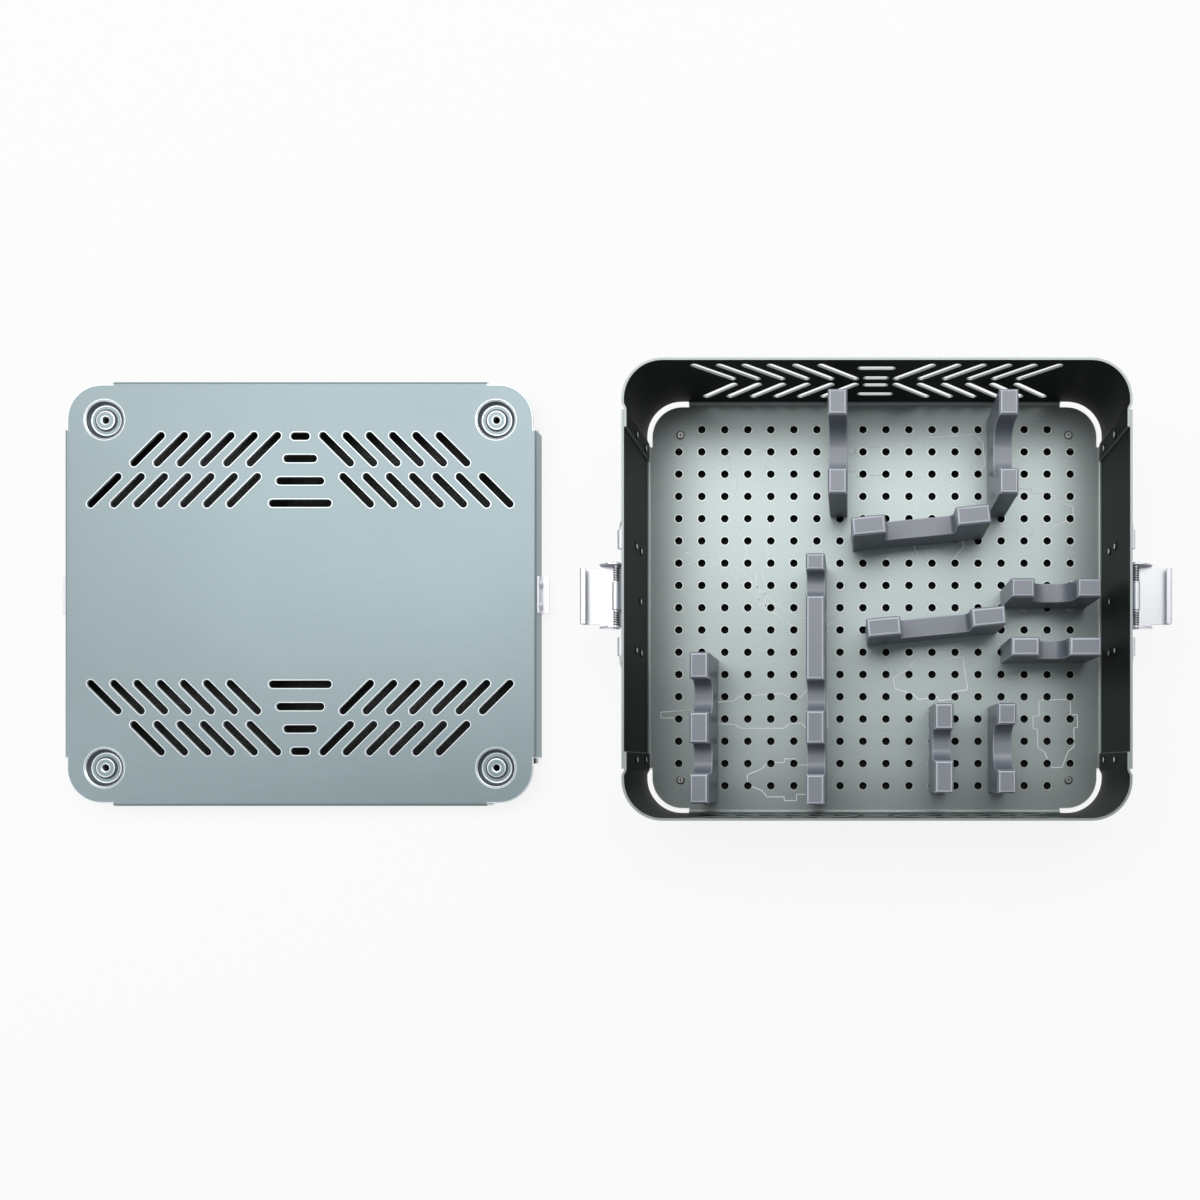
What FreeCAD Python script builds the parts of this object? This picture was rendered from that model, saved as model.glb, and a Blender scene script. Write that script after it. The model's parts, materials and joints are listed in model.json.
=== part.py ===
"""Sterilization container: a perforated sheet base with holders, two latches, two bail handles and a lift-off lid.

Millimetres, +Z up. The origin is under the middle of the base, on the surface that its feet stand on.
X runs from latch to latch, and +Y is the back wall. The lid lies beside the base, top side up.
"""

import FreeCAD, Part
import math
import os

import Sketcher

V = FreeCAD.Vector
doc = FreeCAD.newDocument("sterilization_container")

# Driving dimensions: alias, millimetres (or a count, or degrees), what it is
SIZES = [
    ("base_width", 298, "outside of the base, latch wall to latch wall"),
    ("base_depth", 270, "outside of the base, front to back"),
    ("wall_height", 70, "underside of the floor to the rim"),
    ("sheet_thickness", 1.5, "aluminium sheet of floor, walls and lid"),
    ("corner_radius", 24, "outside radius of the upright corners"),
    ("fold_radius", 1.5, "inside radius of the folds along the floor"),
    ("relief_width", 2.8, "open gap between the floor's corners and the corner walls"),
    ("relief_run", 4.2, "how far the relief runs past the corner along the back and front"),
    ("joggle_start", 2, "straight part of the corner wall before its joggle"),
    ("joggle_run", 4, "length over which the wall end steps inwards"),
    ("lap_length", 10, "overlap of the wall end inside the side panel"),
    ("panel_gap", 0.3, "gap between the side panel's end and the joggle"),
    ("hole_pitch_x", 15, "floor holes, column to column"),
    ("hole_pitch_y", 14.5, "floor holes, row to row"),
    ("hole_columns", 18, "columns of floor holes"),
    ("hole_rows", 17, "rows of floor holes"),
    ("hole_radius", 2.6, "floor hole, centre to corner of its six sides"),
    ("foot_height", 4, "height of the feet under the floor"),
    ("foot_radius", 9.5, "feet, which stand in the lid recesses of a container below"),
    ("foot_hollow_radius", 7.4, "hollow under each foot, clear of the raised middle of a recess"),
    ("foot_hollow_depth", 2, "depth of the hollow under each foot"),
    ("foot_screw_grip", 1.4, "length of each foot screw inside its foot"),
    ("foot_spacing_x", 252.5, "feet and lid recesses, left to right"),
    ("foot_spacing_y", 224.5, "feet and lid recesses, front to back"),
    ("rivet_radius", 1.6, "shank of every rivet"),
    ("rivet_head_radius", 2.8, "head of every rivet"),
    ("rivet_head_height", 0.9, "height of a rivet head"),
    ("lap_rivet_inset", 5.5, "rivets of the corner lap, in from the side panel's end"),
    ("lap_rivet_low", 16.5, "lower lap rivet above the underside of the floor"),
    ("lap_rivet_high", 42.5, "upper lap rivet above the underside of the floor"),
    ("wall_slot_width", 4.6, "slots of the back and front walls"),
    ("wall_slot_rise", 20, "height of one slanted wall slot, centre to centre of its ends"),
    ("wall_slot_pitch", 15, "wall slots, one to the next"),
    ("wall_slot_count", 6, "arrows on each side of the middle"),
    ("wall_slot_start", 12.7, "inner end of the arrows, from the middle of the wall"),
    ("wall_arrow_height", 37.2, "middle of the arrows above the underside of the floor"),
    ("wall_arrow_gap", 9.3, "gap between the upper and lower slot of an arrow, centre to centre"),
    ("wall_bar_inner", 5.6, "inner level wall slots, up and down from the middle of the arrows"),
    ("wall_bar_outer", 20.5, "outer level wall slots, up and down from the middle of the arrows"),
    ("wall_bar_long", 22.6, "longest level wall slot"),
    ("wall_bar_short", 15.6, "shortest level wall slot"),
    ("lid_gap_x", 1.75, "lid flange to base, at each latch wall"),
    ("lid_gap_y", 0.5, "lid flange to base, at the back and front"),
    ("lid_drop", 12, "depth of the lid's flanges below the top face"),
    ("lid_flange_x", 242, "length of the back and front flanges"),
    ("lid_flange_y", 212, "length of the flanges over the latches"),
    ("lid_fold_radius", 0.5, "inside radius of the lid's folds"),
    ("lid_corner_radius", 22.5, "rounding of the lid's corners"),
    ("lid_away_x", 370.5, "middle of the lid left of the middle of the base"),
    ("lid_away_y", 8, "middle of the lid behind the middle of the base"),
    ("lid_slot_width", 4.8, "slots of the lid"),
    ("lid_slot_run", 17.6, "slanted lid slot, centre to centre of its ends, along X and along Y"),
    ("lid_slot_pitch", 15, "lid slots, one to the next"),
    ("lid_outer_row_x", 14.7, "outer row of lid slots: inner end of the first from the middle"),
    ("lid_outer_row_y", 102, "outer row of lid slots: far end from the middle"),
    ("lid_outer_count", 6, "slots in each outer row"),
    ("lid_inner_row_x", 27.6, "inner row of lid slots: first slot's end from the middle"),
    ("lid_inner_row_y", 75.5, "inner row of lid slots: far end from the middle"),
    ("lid_inner_count", 7, "slots in each inner row"),
    ("lid_bar_pitch", 14.4, "level slots in the middle of the lid, row to row"),
    ("lid_bar_first", 58.4, "nearest level lid slot from the middle"),
    ("lid_bar_count", 4, "level lid slots on each side of the middle"),
    ("lid_bar_long", 40.5, "longest level lid slot"),
    ("lid_bar_step", 9.4, "difference in length from one level lid slot to the next"),
    ("recess_radius", 12.8, "stamped stacking recess in the lid, at its top"),
    ("recess_floor_radius", 10.4, "flat of the stacking recess that a foot stands on"),
    ("recess_depth", 2, "depth of the stacking recess"),
    ("recess_boss_radius", 6.6, "raised middle of the stacking recess"),
    ("recess_boss_height", 0.9, "height of the raised middle over the recess floor"),
    ("recess_hole_radius", 2.2, "drain hole in the middle of each recess"),
    ("steel_thickness", 1, "stainless sheet of levers, brackets, clips and catches"),
    ("pin_radius", 1.25, "latch pivot pin"),
    ("running_gap", 0.05, "radial clearance of everything that turns"),
    ("side_gap", 0.15, "side clearance of everything that turns"),
    ("pin_out", 8.5, "latch pivot out from the base wall"),
    ("pin_height", 46.5, "latch pivot above the underside of the floor"),
    ("knuckle_width", 17, "rolled knuckle of the latch bracket"),
    ("knuckle_radius", 2.5, "outside of the rolled knuckle"),
    ("bracket_width", 26, "latch bracket along the wall"),
    ("bracket_foot", 17, "lower end of the latch bracket above the underside of the floor"),
    ("bracket_rivet", 25, "latch rivet above the underside of the floor"),
    ("lever_width", 34, "latch lever plate"),
    ("lever_reach", 22.1, "latch pivot to the outside of the lever's hook"),
    ("lever_drop", 4.2, "latch pivot to the outer face of the lever plate"),
    ("lever_heel", 6.9, "latch pivot to the heel of the lever"),
    ("cheek_gap", 37, "between the lever's two cheeks"),
    ("cheek_reach", 10.5, "latch pivot to the end of the cheeks"),
    ("cheek_radius", 4, "round of the cheek about the pivot"),
    ("hook_rise", 5.2, "height of the lever's hook"),
    ("hook_bend", 0.6, "inside radius of the hook's two bends"),
    ("hook_return", 3.6, "length of the hook's turned-back end"),
    ("catch_width", 24, "catch plate on the lid flange"),
    ("catch_gap", 0.3, "closed hook above the catch ledge"),
    ("catch_rivets", 14, "catch rivets, one to the other"),
    ("catch_rivet_head", 2.2, "head of a catch rivet, between the ledge and the lid's fold"),
    ("catch_foot", 1, "lower edge of the catch plate above the lid flange's lower edge"),
    ("spring_wire", 0.9, "wire of the latch springs"),
    ("spring_turns", 3, "turns of each latch spring"),
    ("wire_radius", 1.75, "bail handle wire"),
    ("clip_width", 11, "handle clip along the wall"),
    ("clip_inner", 26.5, "middle of the wall to the nearer edge of a handle clip"),
    ("clip_axis_height", 55.5, "handle pivot above the underside of the floor"),
    ("clip_foot", 15, "lower end of a handle clip above the underside of the floor"),
    ("clip_rivet_low", 23.5, "lower clip rivet above the underside of the floor"),
    ("clip_rivet_high", 37.5, "upper clip rivet above the underside of the floor"),
    ("bail_half_width", 43.6, "middle of the wall to the wire of a bail leg"),
    ("bail_drop", 45, "handle pivot down to the grip"),
    ("bail_bend", 5, "bend radius of the bail wire"),
    ("holder_thickness", 11.6, "thickness of the silicone holders"),
    ("holder_chamfer", 1.2, "chamfer along the top edges of the holders"),
    ("saddle_rounding", 0.4, "share of a saddle's width that rounds each of its lower corners"),
    ("step_rounding", 3, "lower corners of the long holders' low middle"),
    ("holder_height", 45, "height of the low holders over the floor"),
    ("tall_holder_height", 57, "height of the two tall holders over the floor"),
    ("holder_screw_radius", 1.2, "screw that holds a holder, up through a floor hole"),
    ("holder_screw_depth", 8, "length of holder screw inside the silicone"),
    ("holder_screw_head", 3.6, "head of a holder screw, wider than a floor hole"),
    ("holder_screw_head_height", 1.2, "height of a holder screw's head"),
    ("holder_screw_cover", 0.4, "least silicone beside a holder screw"),
    ("holder_screw_inset", 6, "least distance from a holder screw to the holder's end"),
]


class Size:
    """A number together with the sheet expression that gives it."""

    def __init__(self, value, text):
        self.value = float(value)
        self.text = text

    @staticmethod
    def of(other):
        return other if isinstance(other, Size) else Size(other, f"({other})")

    def __add__(self, other):
        other = Size.of(other)
        return Size(self.value + other.value, f"({self.text} + {other.text})")

    def __sub__(self, other):
        other = Size.of(other)
        return Size(self.value - other.value, f"({self.text} - {other.text})")

    def __mul__(self, other):
        other = Size.of(other)
        return Size(self.value * other.value, f"({self.text} * {other.text})")

    def __truediv__(self, other):
        other = Size.of(other)
        return Size(self.value / other.value, f"({self.text} / {other.text})")

    def __neg__(self):
        return Size(-self.value, f"(0 - {self.text})")

    __radd__ = __add__
    __rmul__ = __mul__

    def __rsub__(self, other):
        return Size.of(other) - self


class Sizes:
    """Every driving dimension by its alias."""


def make_sheet():
    table = doc.addObject("Spreadsheet::Sheet", "Sizes")
    names = Sizes()
    for row, (alias, value, words) in enumerate(SIZES, start=1):
        table.set(f"A{row}", words)
        table.set(f"B{row}", str(value))
        table.setAlias(f"B{row}", alias)
    doc.recompute()
    for alias, _, _ in SIZES:
        setattr(names, alias, Size(getattr(table, alias), f"Sizes.{alias}"))
    return names


size = make_sheet()
PARTS = []

# Heights and half sizes that several pieces share
t = size.sheet_thickness
floor_low = size.foot_height
floor_top = floor_low + t
rim = floor_low + size.wall_height
half_x = size.base_width / 2
half_y = size.base_depth / 2
fold_outer = size.fold_radius + t
panel_end = half_y - size.corner_radius - size.joggle_start - size.joggle_run - size.panel_gap
back_fold_end = half_x - size.corner_radius - size.relief_run
pin_x = half_x + size.pin_out
pin_z = floor_low + size.pin_height
clip_x = half_x + size.steel_thickness + size.running_gap + size.wire_radius
clip_z = floor_low + size.clip_axis_height
lid_half_x = half_x + size.lid_gap_x + t
lid_half_y = half_y + size.lid_gap_y + t
lid_fold_outer = size.lid_fold_radius + t


def keep(thing, label):
    """Gives a finished sub-part its name and puts it on the list that is written out."""
    thing.Label = label
    PARTS.append(thing)
    return thing


def bind(thing, name, size_of):
    """Ties a property to the sheet."""
    thing.setExpression(name, Size.of(size_of).text)


def new_body(name):
    return doc.addObject("PartDesign::Body", name)


def origin_plane(body, role):
    return next(item for item in body.Origin.OriginFeatures if item.Role == role)


def new_sketch(body, name, role="XY_Plane", lift=0):
    sketch = body.newObject("Sketcher::SketchObject", name)
    sketch.AttachmentSupport = (origin_plane(body, role), [""])
    sketch.MapMode = "FlatFace"
    if isinstance(lift, Size):
        sketch.setExpression("AttachmentOffset.Base.z", lift.text)
    return sketch


def pins(geometry, end, x, y):
    """Constraints that fix one end of a line or arc at x, y, each with its sheet expression or None."""
    found = []
    for kind, axis, place in (("DistanceX", -2, x), ("DistanceY", -1, y)):
        place = Size.of(place)
        if place.text == "(0)":
            found.append((Sketcher.Constraint("PointOnObject", geometry, end, axis), None))
        else:
            found.append((Sketcher.Constraint(kind, -1, 1, geometry, end, place.value), place.text))
    return found


def constrain(sketch, wanted):
    """Adds constraints to a sketch at one go and ties those that have an expression to the sheet."""
    numbers = sketch.addConstraint([constraint for constraint, _ in wanted])
    for number, (_, text) in zip(numbers, wanted):
        if text:
            sketch.setExpression(f"Constraints[{number}]", text)


class Arc:
    """A quarter turn that rounds a corner of an outline, with the directions to the points before and after."""

    def __init__(self, radius, before, after):
        self.radius = radius
        self.before = before
        self.after = after
        self.clockwise = after.x * before.y - after.y * before.x < 0

    def geometry(self, start):
        """The arc from a start point, always drawn anticlockwise."""
        centre = start + self.after * self.radius.value
        ends = [-self.after, -self.before]
        if self.clockwise:
            ends.reverse()
        ring = Part.Circle(centre, V(0, 0, 1), self.radius.value)
        return Part.ArcOfCircle(ring, *(math.atan2(end.y, end.x) for end in ends))


def direction(a, b):
    """Unit step along X or Y from one outline point towards another, at a square corner."""
    steps = [(Size.of(there).value, Size.of(here).value) for there, here in zip(b[:2], a[:2])]
    return V(*[(there > here) - (there < here) for there, here in steps], 0)


def spots_along(points):
    """The ends of an outline's lines and arcs, as (x, y, the arc that starts there or None)."""
    spots = []
    for i, point in enumerate(points):
        if len(point) == 2:
            spots.append((Size.of(point[0]), Size.of(point[1]), None, True))
            continue
        x, y, radius = (Size.of(value) for value in point)
        before = direction(point, points[i - 1])
        after = direction(point, points[(i + 1) % len(points)])
        arc = Arc(radius, before, after)
        for step, starts in ((before, arc), (after, None)):
            spots.append((x + radius * step.x, y + radius * step.y, starts, False))
    kept = []
    for i, (x, y, arc, plain) in enumerate(spots):
        around = (spots[i - 1], spots[(i + 1) % len(spots)])
        doubled = any(near(x.value, other[0].value) and near(y.value, other[1].value) for other in around)
        if not (plain and doubled):
            kept.append((x, y, arc))
    return kept


def draw_outline(sketch, points):
    """A closed outline tied to the sheet. A point is (x, y), or (x, y, radius) at a rounded square corner."""
    spots = spots_along(points)
    first = sketch.GeometryCount
    count = len(spots)
    flat = [V(x.value, y.value, 0) for x, y, _ in spots]
    starts = []
    for i, (_, _, arc) in enumerate(spots):
        edge = arc.geometry(flat[i]) if arc else Part.LineSegment(flat[i], flat[(i + 1) % count])
        sketch.addGeometry(edge, False)
        starts.append(2 if arc and arc.clockwise else 1)
    wanted = []
    for i, (x, y, arc) in enumerate(spots):
        following = (i + 1) % count
        join = Sketcher.Constraint("Coincident", first + i, 3 - starts[i], first + following, starts[following])
        wanted.append((join, None))
        wanted += pins(first + i, starts[i], x, y)
        if arc:
            wanted.append((Sketcher.Constraint("Radius", first + i, arc.radius.value), arc.radius.text))
    constrain(sketch, wanted)


def draw_circle(sketch, x, y, radius):
    centre = V(Size.of(x).value, Size.of(y).value, 0)
    radius = Size.of(radius)
    ring = sketch.addGeometry(Part.Circle(centre, V(0, 0, 1), radius.value), False)
    wanted = pins(ring, 3, x, y) + [(Sketcher.Constraint("Radius", ring, radius.value), radius.text)]
    constrain(sketch, wanted)


def draw_fixed(sketch, outlines):
    """Many like outlines in one sketch, worked out from the sheet's values and blocked where they are."""
    for points in outlines:
        flat = [V(Size.of(x).value, Size.of(y).value, 0) for x, y in points]
        lines = [Part.LineSegment(a, b) for a, b in zip(flat, flat[1:] + flat[:1])]
        first = sketch.GeometryCount
        sketch.addGeometry(lines, False)
    sketch.addConstraint([Sketcher.Constraint("Block", i) for i in range(first + len(lines))])


def polygon(x, y, radius, sides, turn=0):
    """Corners of a regular polygon about x, y, with its corners at radius, turned by some degrees."""
    angles = [2 * math.pi / sides * (i + 0.5) + math.radians(turn) for i in range(sides)]
    return [(x + radius * round(math.cos(a), 6), y + radius * round(math.sin(a), 6)) for a in angles]


def slot(x0, y0, x1, y1, width, slope):
    """Outline of a slot between two end centres, its ends rounded in three flats. slope is in degrees."""
    points = []
    for x, y, away in ((x1, y1, 0), (x0, y0, 180)):
        for step in (-90, -30, 30, 90):
            angle = math.radians(slope + away + step)
            points.append((x + width / 2 * round(math.cos(angle), 6), y + width / 2 * round(math.sin(angle), 6)))
    return points


def add_feature(body, kind, name, **settings):
    feature = body.newObject(f"PartDesign::{kind}", name)
    for key, value in settings.items():
        if isinstance(value, Size):
            bind(feature, key, value)
        else:
            setattr(feature, key, value)
    return feature


def pad(body, sketch, length, both_ways=False, name="Pad"):
    return add_feature(body, "Pad", name, Profile=sketch, Length=length, Midplane=both_ways)


def cut_through(body, sketch, both_ways=True, name="Pocket"):
    """Cuts all the way, both ways from the sketch."""
    return add_feature(body, "Pocket", name, Profile=sketch, Type=1, Midplane=both_ways)


def edges_where(feature, test):
    """Names of the feature's edges whose two ends both pass a test on their place."""
    doc.recompute()
    found = []
    for i, edge in enumerate(feature.Shape.Edges, start=1):
        ends = [v.Point for v in edge.Vertexes]
        if len(ends) == 2 and test(*ends):
            found.append(f"Edge{i}")
    return found


def near(a, b):
    return abs(a - b) < 1e-4


def pattern(body, originals, name, steps):
    """Repeats features by a chain of line patterns and mirrors, each step (kind, direction, more)."""
    chain = body.newObject("PartDesign::MultiTransform", name)
    chain.Originals = originals
    made = []
    for kind, direction, count, pitch in steps:
        step = body.newObject(f"PartDesign::{kind}", f"{name}_{kind}")
        if kind == "Mirrored":
            step.MirrorPlane = direction
        else:
            step.Direction = direction
            step.setExpression("Occurrences", Size.of(count).text)
            step.setExpression("Length", (Size.of(pitch) * (Size.of(count) - 1)).text)
        made.append(step)
    chain.Transformations = made
    body.Tip = chain
    return chain


def place(thing, x=0, y=0, z=0, turn=0):
    """Puts a finished sub-part in its place, tied to the sheet where a size is given."""
    thing.Placement = FreeCAD.Placement(V(0, 0, 0), FreeCAD.Rotation(V(0, 0, 1), turn))
    for axis, value in (("x", x), ("y", y), ("z", z)):
        if isinstance(value, Size):
            thing.setExpression(f"Placement.Base.{axis}", value.text)
        elif value:
            setattr(thing.Placement.Base, axis, value)


SIDES = ((1, 1), (-1, 1), (-1, -1), (1, -1))
RIVET_SIDES = 6
HOLE_SIDES = 6
WIRE_SIDES = 8


def draw_box(sketch, x0, y0, x1, y1):
    draw_outline(sketch, [(x0, y0), (x1, y0), (x1, y1), (x0, y1)])


def mirrored(body, originals, name, *roles):
    """Repeats features on the other side of one or two of the body's own planes."""
    steps = [("Mirrored", (origin_plane(body, role), [""]), None, None) for role in roles]
    return pattern(body, originals, name, steps)


def both(a, b, **places):
    """Whether both ends of an edge lie at the given places, such as x=12."""
    return all(near(getattr(point, axis), Size.of(at).value) for point in (a, b) for axis, at in places.items())


def make_floor():
    """The perforated floor, stepped and rounded at its corners so that the corner reliefs stay open."""
    body = new_body("FloorPlate")
    plan = new_sketch(body, "FloorPlan", lift=floor_low)
    edge_x, edge_y = half_x - fold_outer, half_y - fold_outer
    relief = t + size.relief_width
    corner_x, corner_y = half_x - relief, half_y - relief
    points = []
    for sx, sy in SIDES:
        corner = [
            (edge_x * sx, panel_end * sy),
            (corner_x * sx, panel_end * sy),
            (corner_x * sx, corner_y * sy, size.corner_radius - relief),
            (back_fold_end * sx, corner_y * sy),
            (back_fold_end * sx, edge_y * sy),
        ]
        points += corner if sx * sy > 0 else corner[::-1]
    foot_x, foot_y = size.foot_spacing_x / 2, size.foot_spacing_y / 2
    holes = [polygon(foot_x * sx, foot_y * sy, size.rivet_radius, RIVET_SIDES) for sx, sy in SIDES]
    holes += [polygon(x, y, size.hole_radius, HOLE_SIDES) for x, y in floor_holes()]
    draw_fixed(plan, holes)
    draw_outline(plan, points)
    pad(body, plan, t, name="FloorPad")
    return keep(body, "floor_plate")


def make_side_panel(label, turn):
    """A latch wall, folded up from the floor, with the rivet holes of latch, handle clips and laps."""
    body = new_body(label)
    profile = new_sketch(body, "PanelProfile", "XZ_Plane")
    draw_outline(profile, fold_profile(half_x, floor_low, rim))
    pad(body, profile, panel_end * 2, both_ways=True, name="PanelPad")
    holes = new_sketch(body, "RivetHoles", "YZ_Plane", lift=half_x)
    for y, z in lap_rivet_spots() + clip_rivet_spots() + [(0, floor_low + size.bracket_rivet)]:
        draw_outline(holes, polygon(y, z, size.rivet_radius, RIVET_SIDES))
    add_feature(body, "Pocket", "RivetHoleCut", Profile=holes, Length=t)
    place(body, turn=turn)
    return keep(body, label)


def fold_profile(face, low, high):
    """Section of sheet that folds up from the floor to a height; face is how far out its outside lies."""
    return [
        (face - fold_outer, low),
        (face, low, fold_outer),
        (face, high),
        (face - t, high),
        (face - t, low + t, size.fold_radius),
        (face - fold_outer, low + t),
    ]


def lap_rivet_spots():
    y = panel_end - size.lap_rivet_inset
    heights = (floor_low + size.lap_rivet_low, floor_low + size.lap_rivet_high)
    return [(y * side, z) for side in (1, -1) for z in heights]


def clip_rivet_spots():
    y = size.clip_inner + size.clip_width / 2
    heights = (floor_low + size.clip_rivet_low, floor_low + size.clip_rivet_high)
    return [(y * side, z) for side in (1, -1) for z in heights]


def make_wall(label, turn):
    """A slotted end wall that goes round both corners and steps inside the side panels."""
    body = new_body(label)
    plan = new_sketch(body, "WallPlan", lift=floor_low + fold_outer)
    step_start = half_y - size.corner_radius - size.joggle_start
    step_end = step_start - size.joggle_run
    lap_end = panel_end - size.lap_length
    right_outer = [
        (half_x - t, lap_end),
        (half_x - t, step_end),
        (half_x, step_start),
        (half_x, half_y, size.corner_radius),
    ]
    right_inner = [
        (half_x - t, half_y - t, size.corner_radius - t),
        (half_x - t, step_start),
        (half_x - t * 2, step_end),
        (half_x - t * 2, lap_end),
    ]
    left_outer = [(-point[0], *point[1:]) for point in right_outer[::-1]]
    left_inner = [(-point[0], *point[1:]) for point in right_inner[::-1]]
    draw_outline(plan, right_outer + left_outer + left_inner + right_inner)
    pad(body, plan, rim - floor_low - fold_outer, name="WallPad")
    fold = new_sketch(body, "FoldProfile", "YZ_Plane")
    draw_outline(fold, fold_profile(half_y, floor_low, floor_low + fold_outer))
    pad(body, fold, back_fold_end * 2, both_ways=True, name="FoldPad")
    rivets = new_sketch(body, "LapRivetHoles", "YZ_Plane")
    for y, z in lap_rivet_spots()[:2]:
        draw_outline(rivets, polygon(y, z, size.rivet_radius, RIVET_SIDES))
    cut_through(body, rivets, name="LapRivetCut")
    middle = floor_low + size.wall_arrow_height
    bars = new_sketch(body, "Bars", "XZ_Plane")
    for up, length in ((size.wall_bar_outer, size.wall_bar_long), (size.wall_bar_inner, size.wall_bar_short)):
        for z in (middle + up, middle - up):
            reach = (length - size.wall_slot_width) / 2
            draw_outline(bars, slot(-reach, z, reach, z, size.wall_slot_width, 0))
    cut_through(body, bars, name="BarCut")
    arrow = new_sketch(body, "Arrow", "XZ_Plane")
    rise = size.wall_slot_rise
    tip, tail = size.wall_slot_start, size.wall_slot_start + rise
    for side in (1, -1):
        low = middle + size.wall_arrow_gap / 2 * side
        draw_outline(arrow, slot(tip, low, tail, low + rise * side, size.wall_slot_width, 45 * side))
    cut = cut_through(body, arrow, name="ArrowCut")
    pattern(
        body,
        [cut],
        "Arrows",
        [
            ("LinearPattern", (arrow, ["H_Axis"]), size.wall_slot_count, size.wall_slot_pitch),
            ("Mirrored", (origin_plane(body, "YZ_Plane"), [""]), None, None),
        ],
    )
    place(body, turn=turn)
    return keep(body, label)


def make_rivets(label, role, spots, layers, *mirror_roles):
    """Rivets as one group: layers are (from, thickness, radius) along the rivet, at each spot."""
    body = new_body(label)
    made = []
    for i, (start, thickness, radius) in enumerate(layers):
        sketch = new_sketch(body, f"Layer{i}", role, lift=start)
        for a, b in spots:
            draw_outline(sketch, polygon(a, b, radius, RIVET_SIDES))
        made.append(pad(body, sketch, thickness, name=f"Layer{i}Pad"))
    if mirror_roles:
        mirrored(body, made, "OtherSides", *mirror_roles)
    return keep(body, label)


def make_base_rivets():
    """The rivets of the base: corner laps, handle clips, latch brackets and the screws of the feet."""
    head = size.rivet_head_height
    wall_side = [(half_x, head, size.rivet_head_radius)]
    inner_side = [(half_x - t - head, head, size.rivet_head_radius)]
    make_rivets(
        "corner_rivets",
        "YZ_Plane",
        lap_rivet_spots(),
        [
            (half_x - t * 2 - head, head, size.rivet_head_radius),
            (half_x - t * 2, t * 2, size.rivet_radius),
        ]
        + wall_side,
        "YZ_Plane",
    )
    through = t + size.steel_thickness
    outside = [(half_x + size.steel_thickness, head, size.rivet_head_radius)]
    shank = [(half_x - t, through, size.rivet_radius)]
    make_rivets("handle_clip_rivets", "YZ_Plane", clip_rivet_spots(), inner_side + shank + outside, "YZ_Plane")
    make_rivets(
        "latch_rivets",
        "YZ_Plane",
        [(0, floor_low + size.bracket_rivet)],
        inner_side + shank + outside,
        "YZ_Plane",
    )


def make_feet():
    """Four hollow feet, and the screws that go into them from inside the base."""
    x, y = size.foot_spacing_x / 2, size.foot_spacing_y / 2
    body = new_body("Feet")
    disc = new_sketch(body, "FootDisc")
    draw_circle(disc, x, y, size.foot_radius)
    full = pad(body, disc, floor_low, name="FootPad")
    hollow = new_sketch(body, "FootHollow")
    draw_circle(hollow, x, y, size.foot_hollow_radius)
    depth = size.foot_hollow_depth
    under = add_feature(body, "Pocket", "FootHollowCut", Profile=hollow, Length=depth, Reversed=True)
    bore = new_sketch(body, "FootBore", lift=floor_low)
    draw_outline(bore, polygon(x, y, size.rivet_radius, RIVET_SIDES))
    grip = add_feature(body, "Pocket", "FootBoreCut", Profile=bore, Length=size.foot_screw_grip)
    mirrored(body, [full, under, grip], "OtherFeet", "YZ_Plane", "XZ_Plane")
    keep(body, "feet")
    make_rivets(
        "foot_screws",
        "XY_Plane",
        [(x, y)],
        [
            (floor_low - size.foot_screw_grip, size.foot_screw_grip + t, size.rivet_radius),
            (floor_top, size.rivet_head_height, size.rivet_head_radius),
        ],
        "YZ_Plane",
        "XZ_Plane",
    )


# Holders: name, middle x and y, turn in degrees, length, height, and cuts from the top as
# (kind, middle along the holder, width at the top, depth)
HOLDERS = [
    ("holder_back_left", -23.2, 90.2, 90, 62.5, "tall_holder_height", [("saddle", 0, 31.5, 26)]),
    ("holder_back_right", 78.8, 90.2, 90, 62.5, "tall_holder_height", [("saddle", 0, 31.5, 26)]),
    ("holder_upper_long", 27.4, 46.3, 5.6, 84.8, "holder_height", [("step", 0, 43, 21)]),
    ("holder_middle_long", 36.6, -15.3, 5.6, 84.8, "holder_height", [("step", 0, 43, 21)]),
    (
        "holder_tall_row",
        -36.9,
        -50.2,
        90,
        153,
        "holder_height",
        [("saddle", 58.4, 15.2, 14), ("saddle", -9.8, 18.2, 18), ("saddle", -48.6, 18.2, 18)],
    ),
    (
        "holder_left_row",
        -107.5,
        -79.9,
        90,
        92.2,
        "holder_height",
        [("saddle", 19.9, 20.2, 20), ("saddle", -18.5, 18.2, 18)],
    ),
    ("holder_right_wide", 109.5, 5.2, 0, 55, "holder_height", [("saddle", -0.2, 25.7, 20)]),
    ("holder_right_narrow", 109.5, -30.4, 0, 55, "holder_height", [("saddle", -1.2, 17.9, 19)]),
    ("holder_front_small", 41.3, -92.2, 90, 55, "holder_height", [("saddle", 2, 18.6, 18)]),
    ("holder_front_wide", 79.5, -92.2, 90, 55, "holder_height", [("saddle", 0.6, 27.3, 20)]),
]


def floor_holes():
    """Middles of the floor holes: a square grid without its four corner holes."""
    columns, rows = int(size.hole_columns.value), int(size.hole_rows.value)
    holes = []
    for row in range(rows):
        short = 1 if row in (0, rows - 1) else 0
        for column in range(short, columns - short):
            x = size.hole_pitch_x * (column - (columns - 1) / 2)
            y = size.hole_pitch_y * (row - (rows - 1) / 2)
            holes.append((x, y))
    return holes


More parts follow.
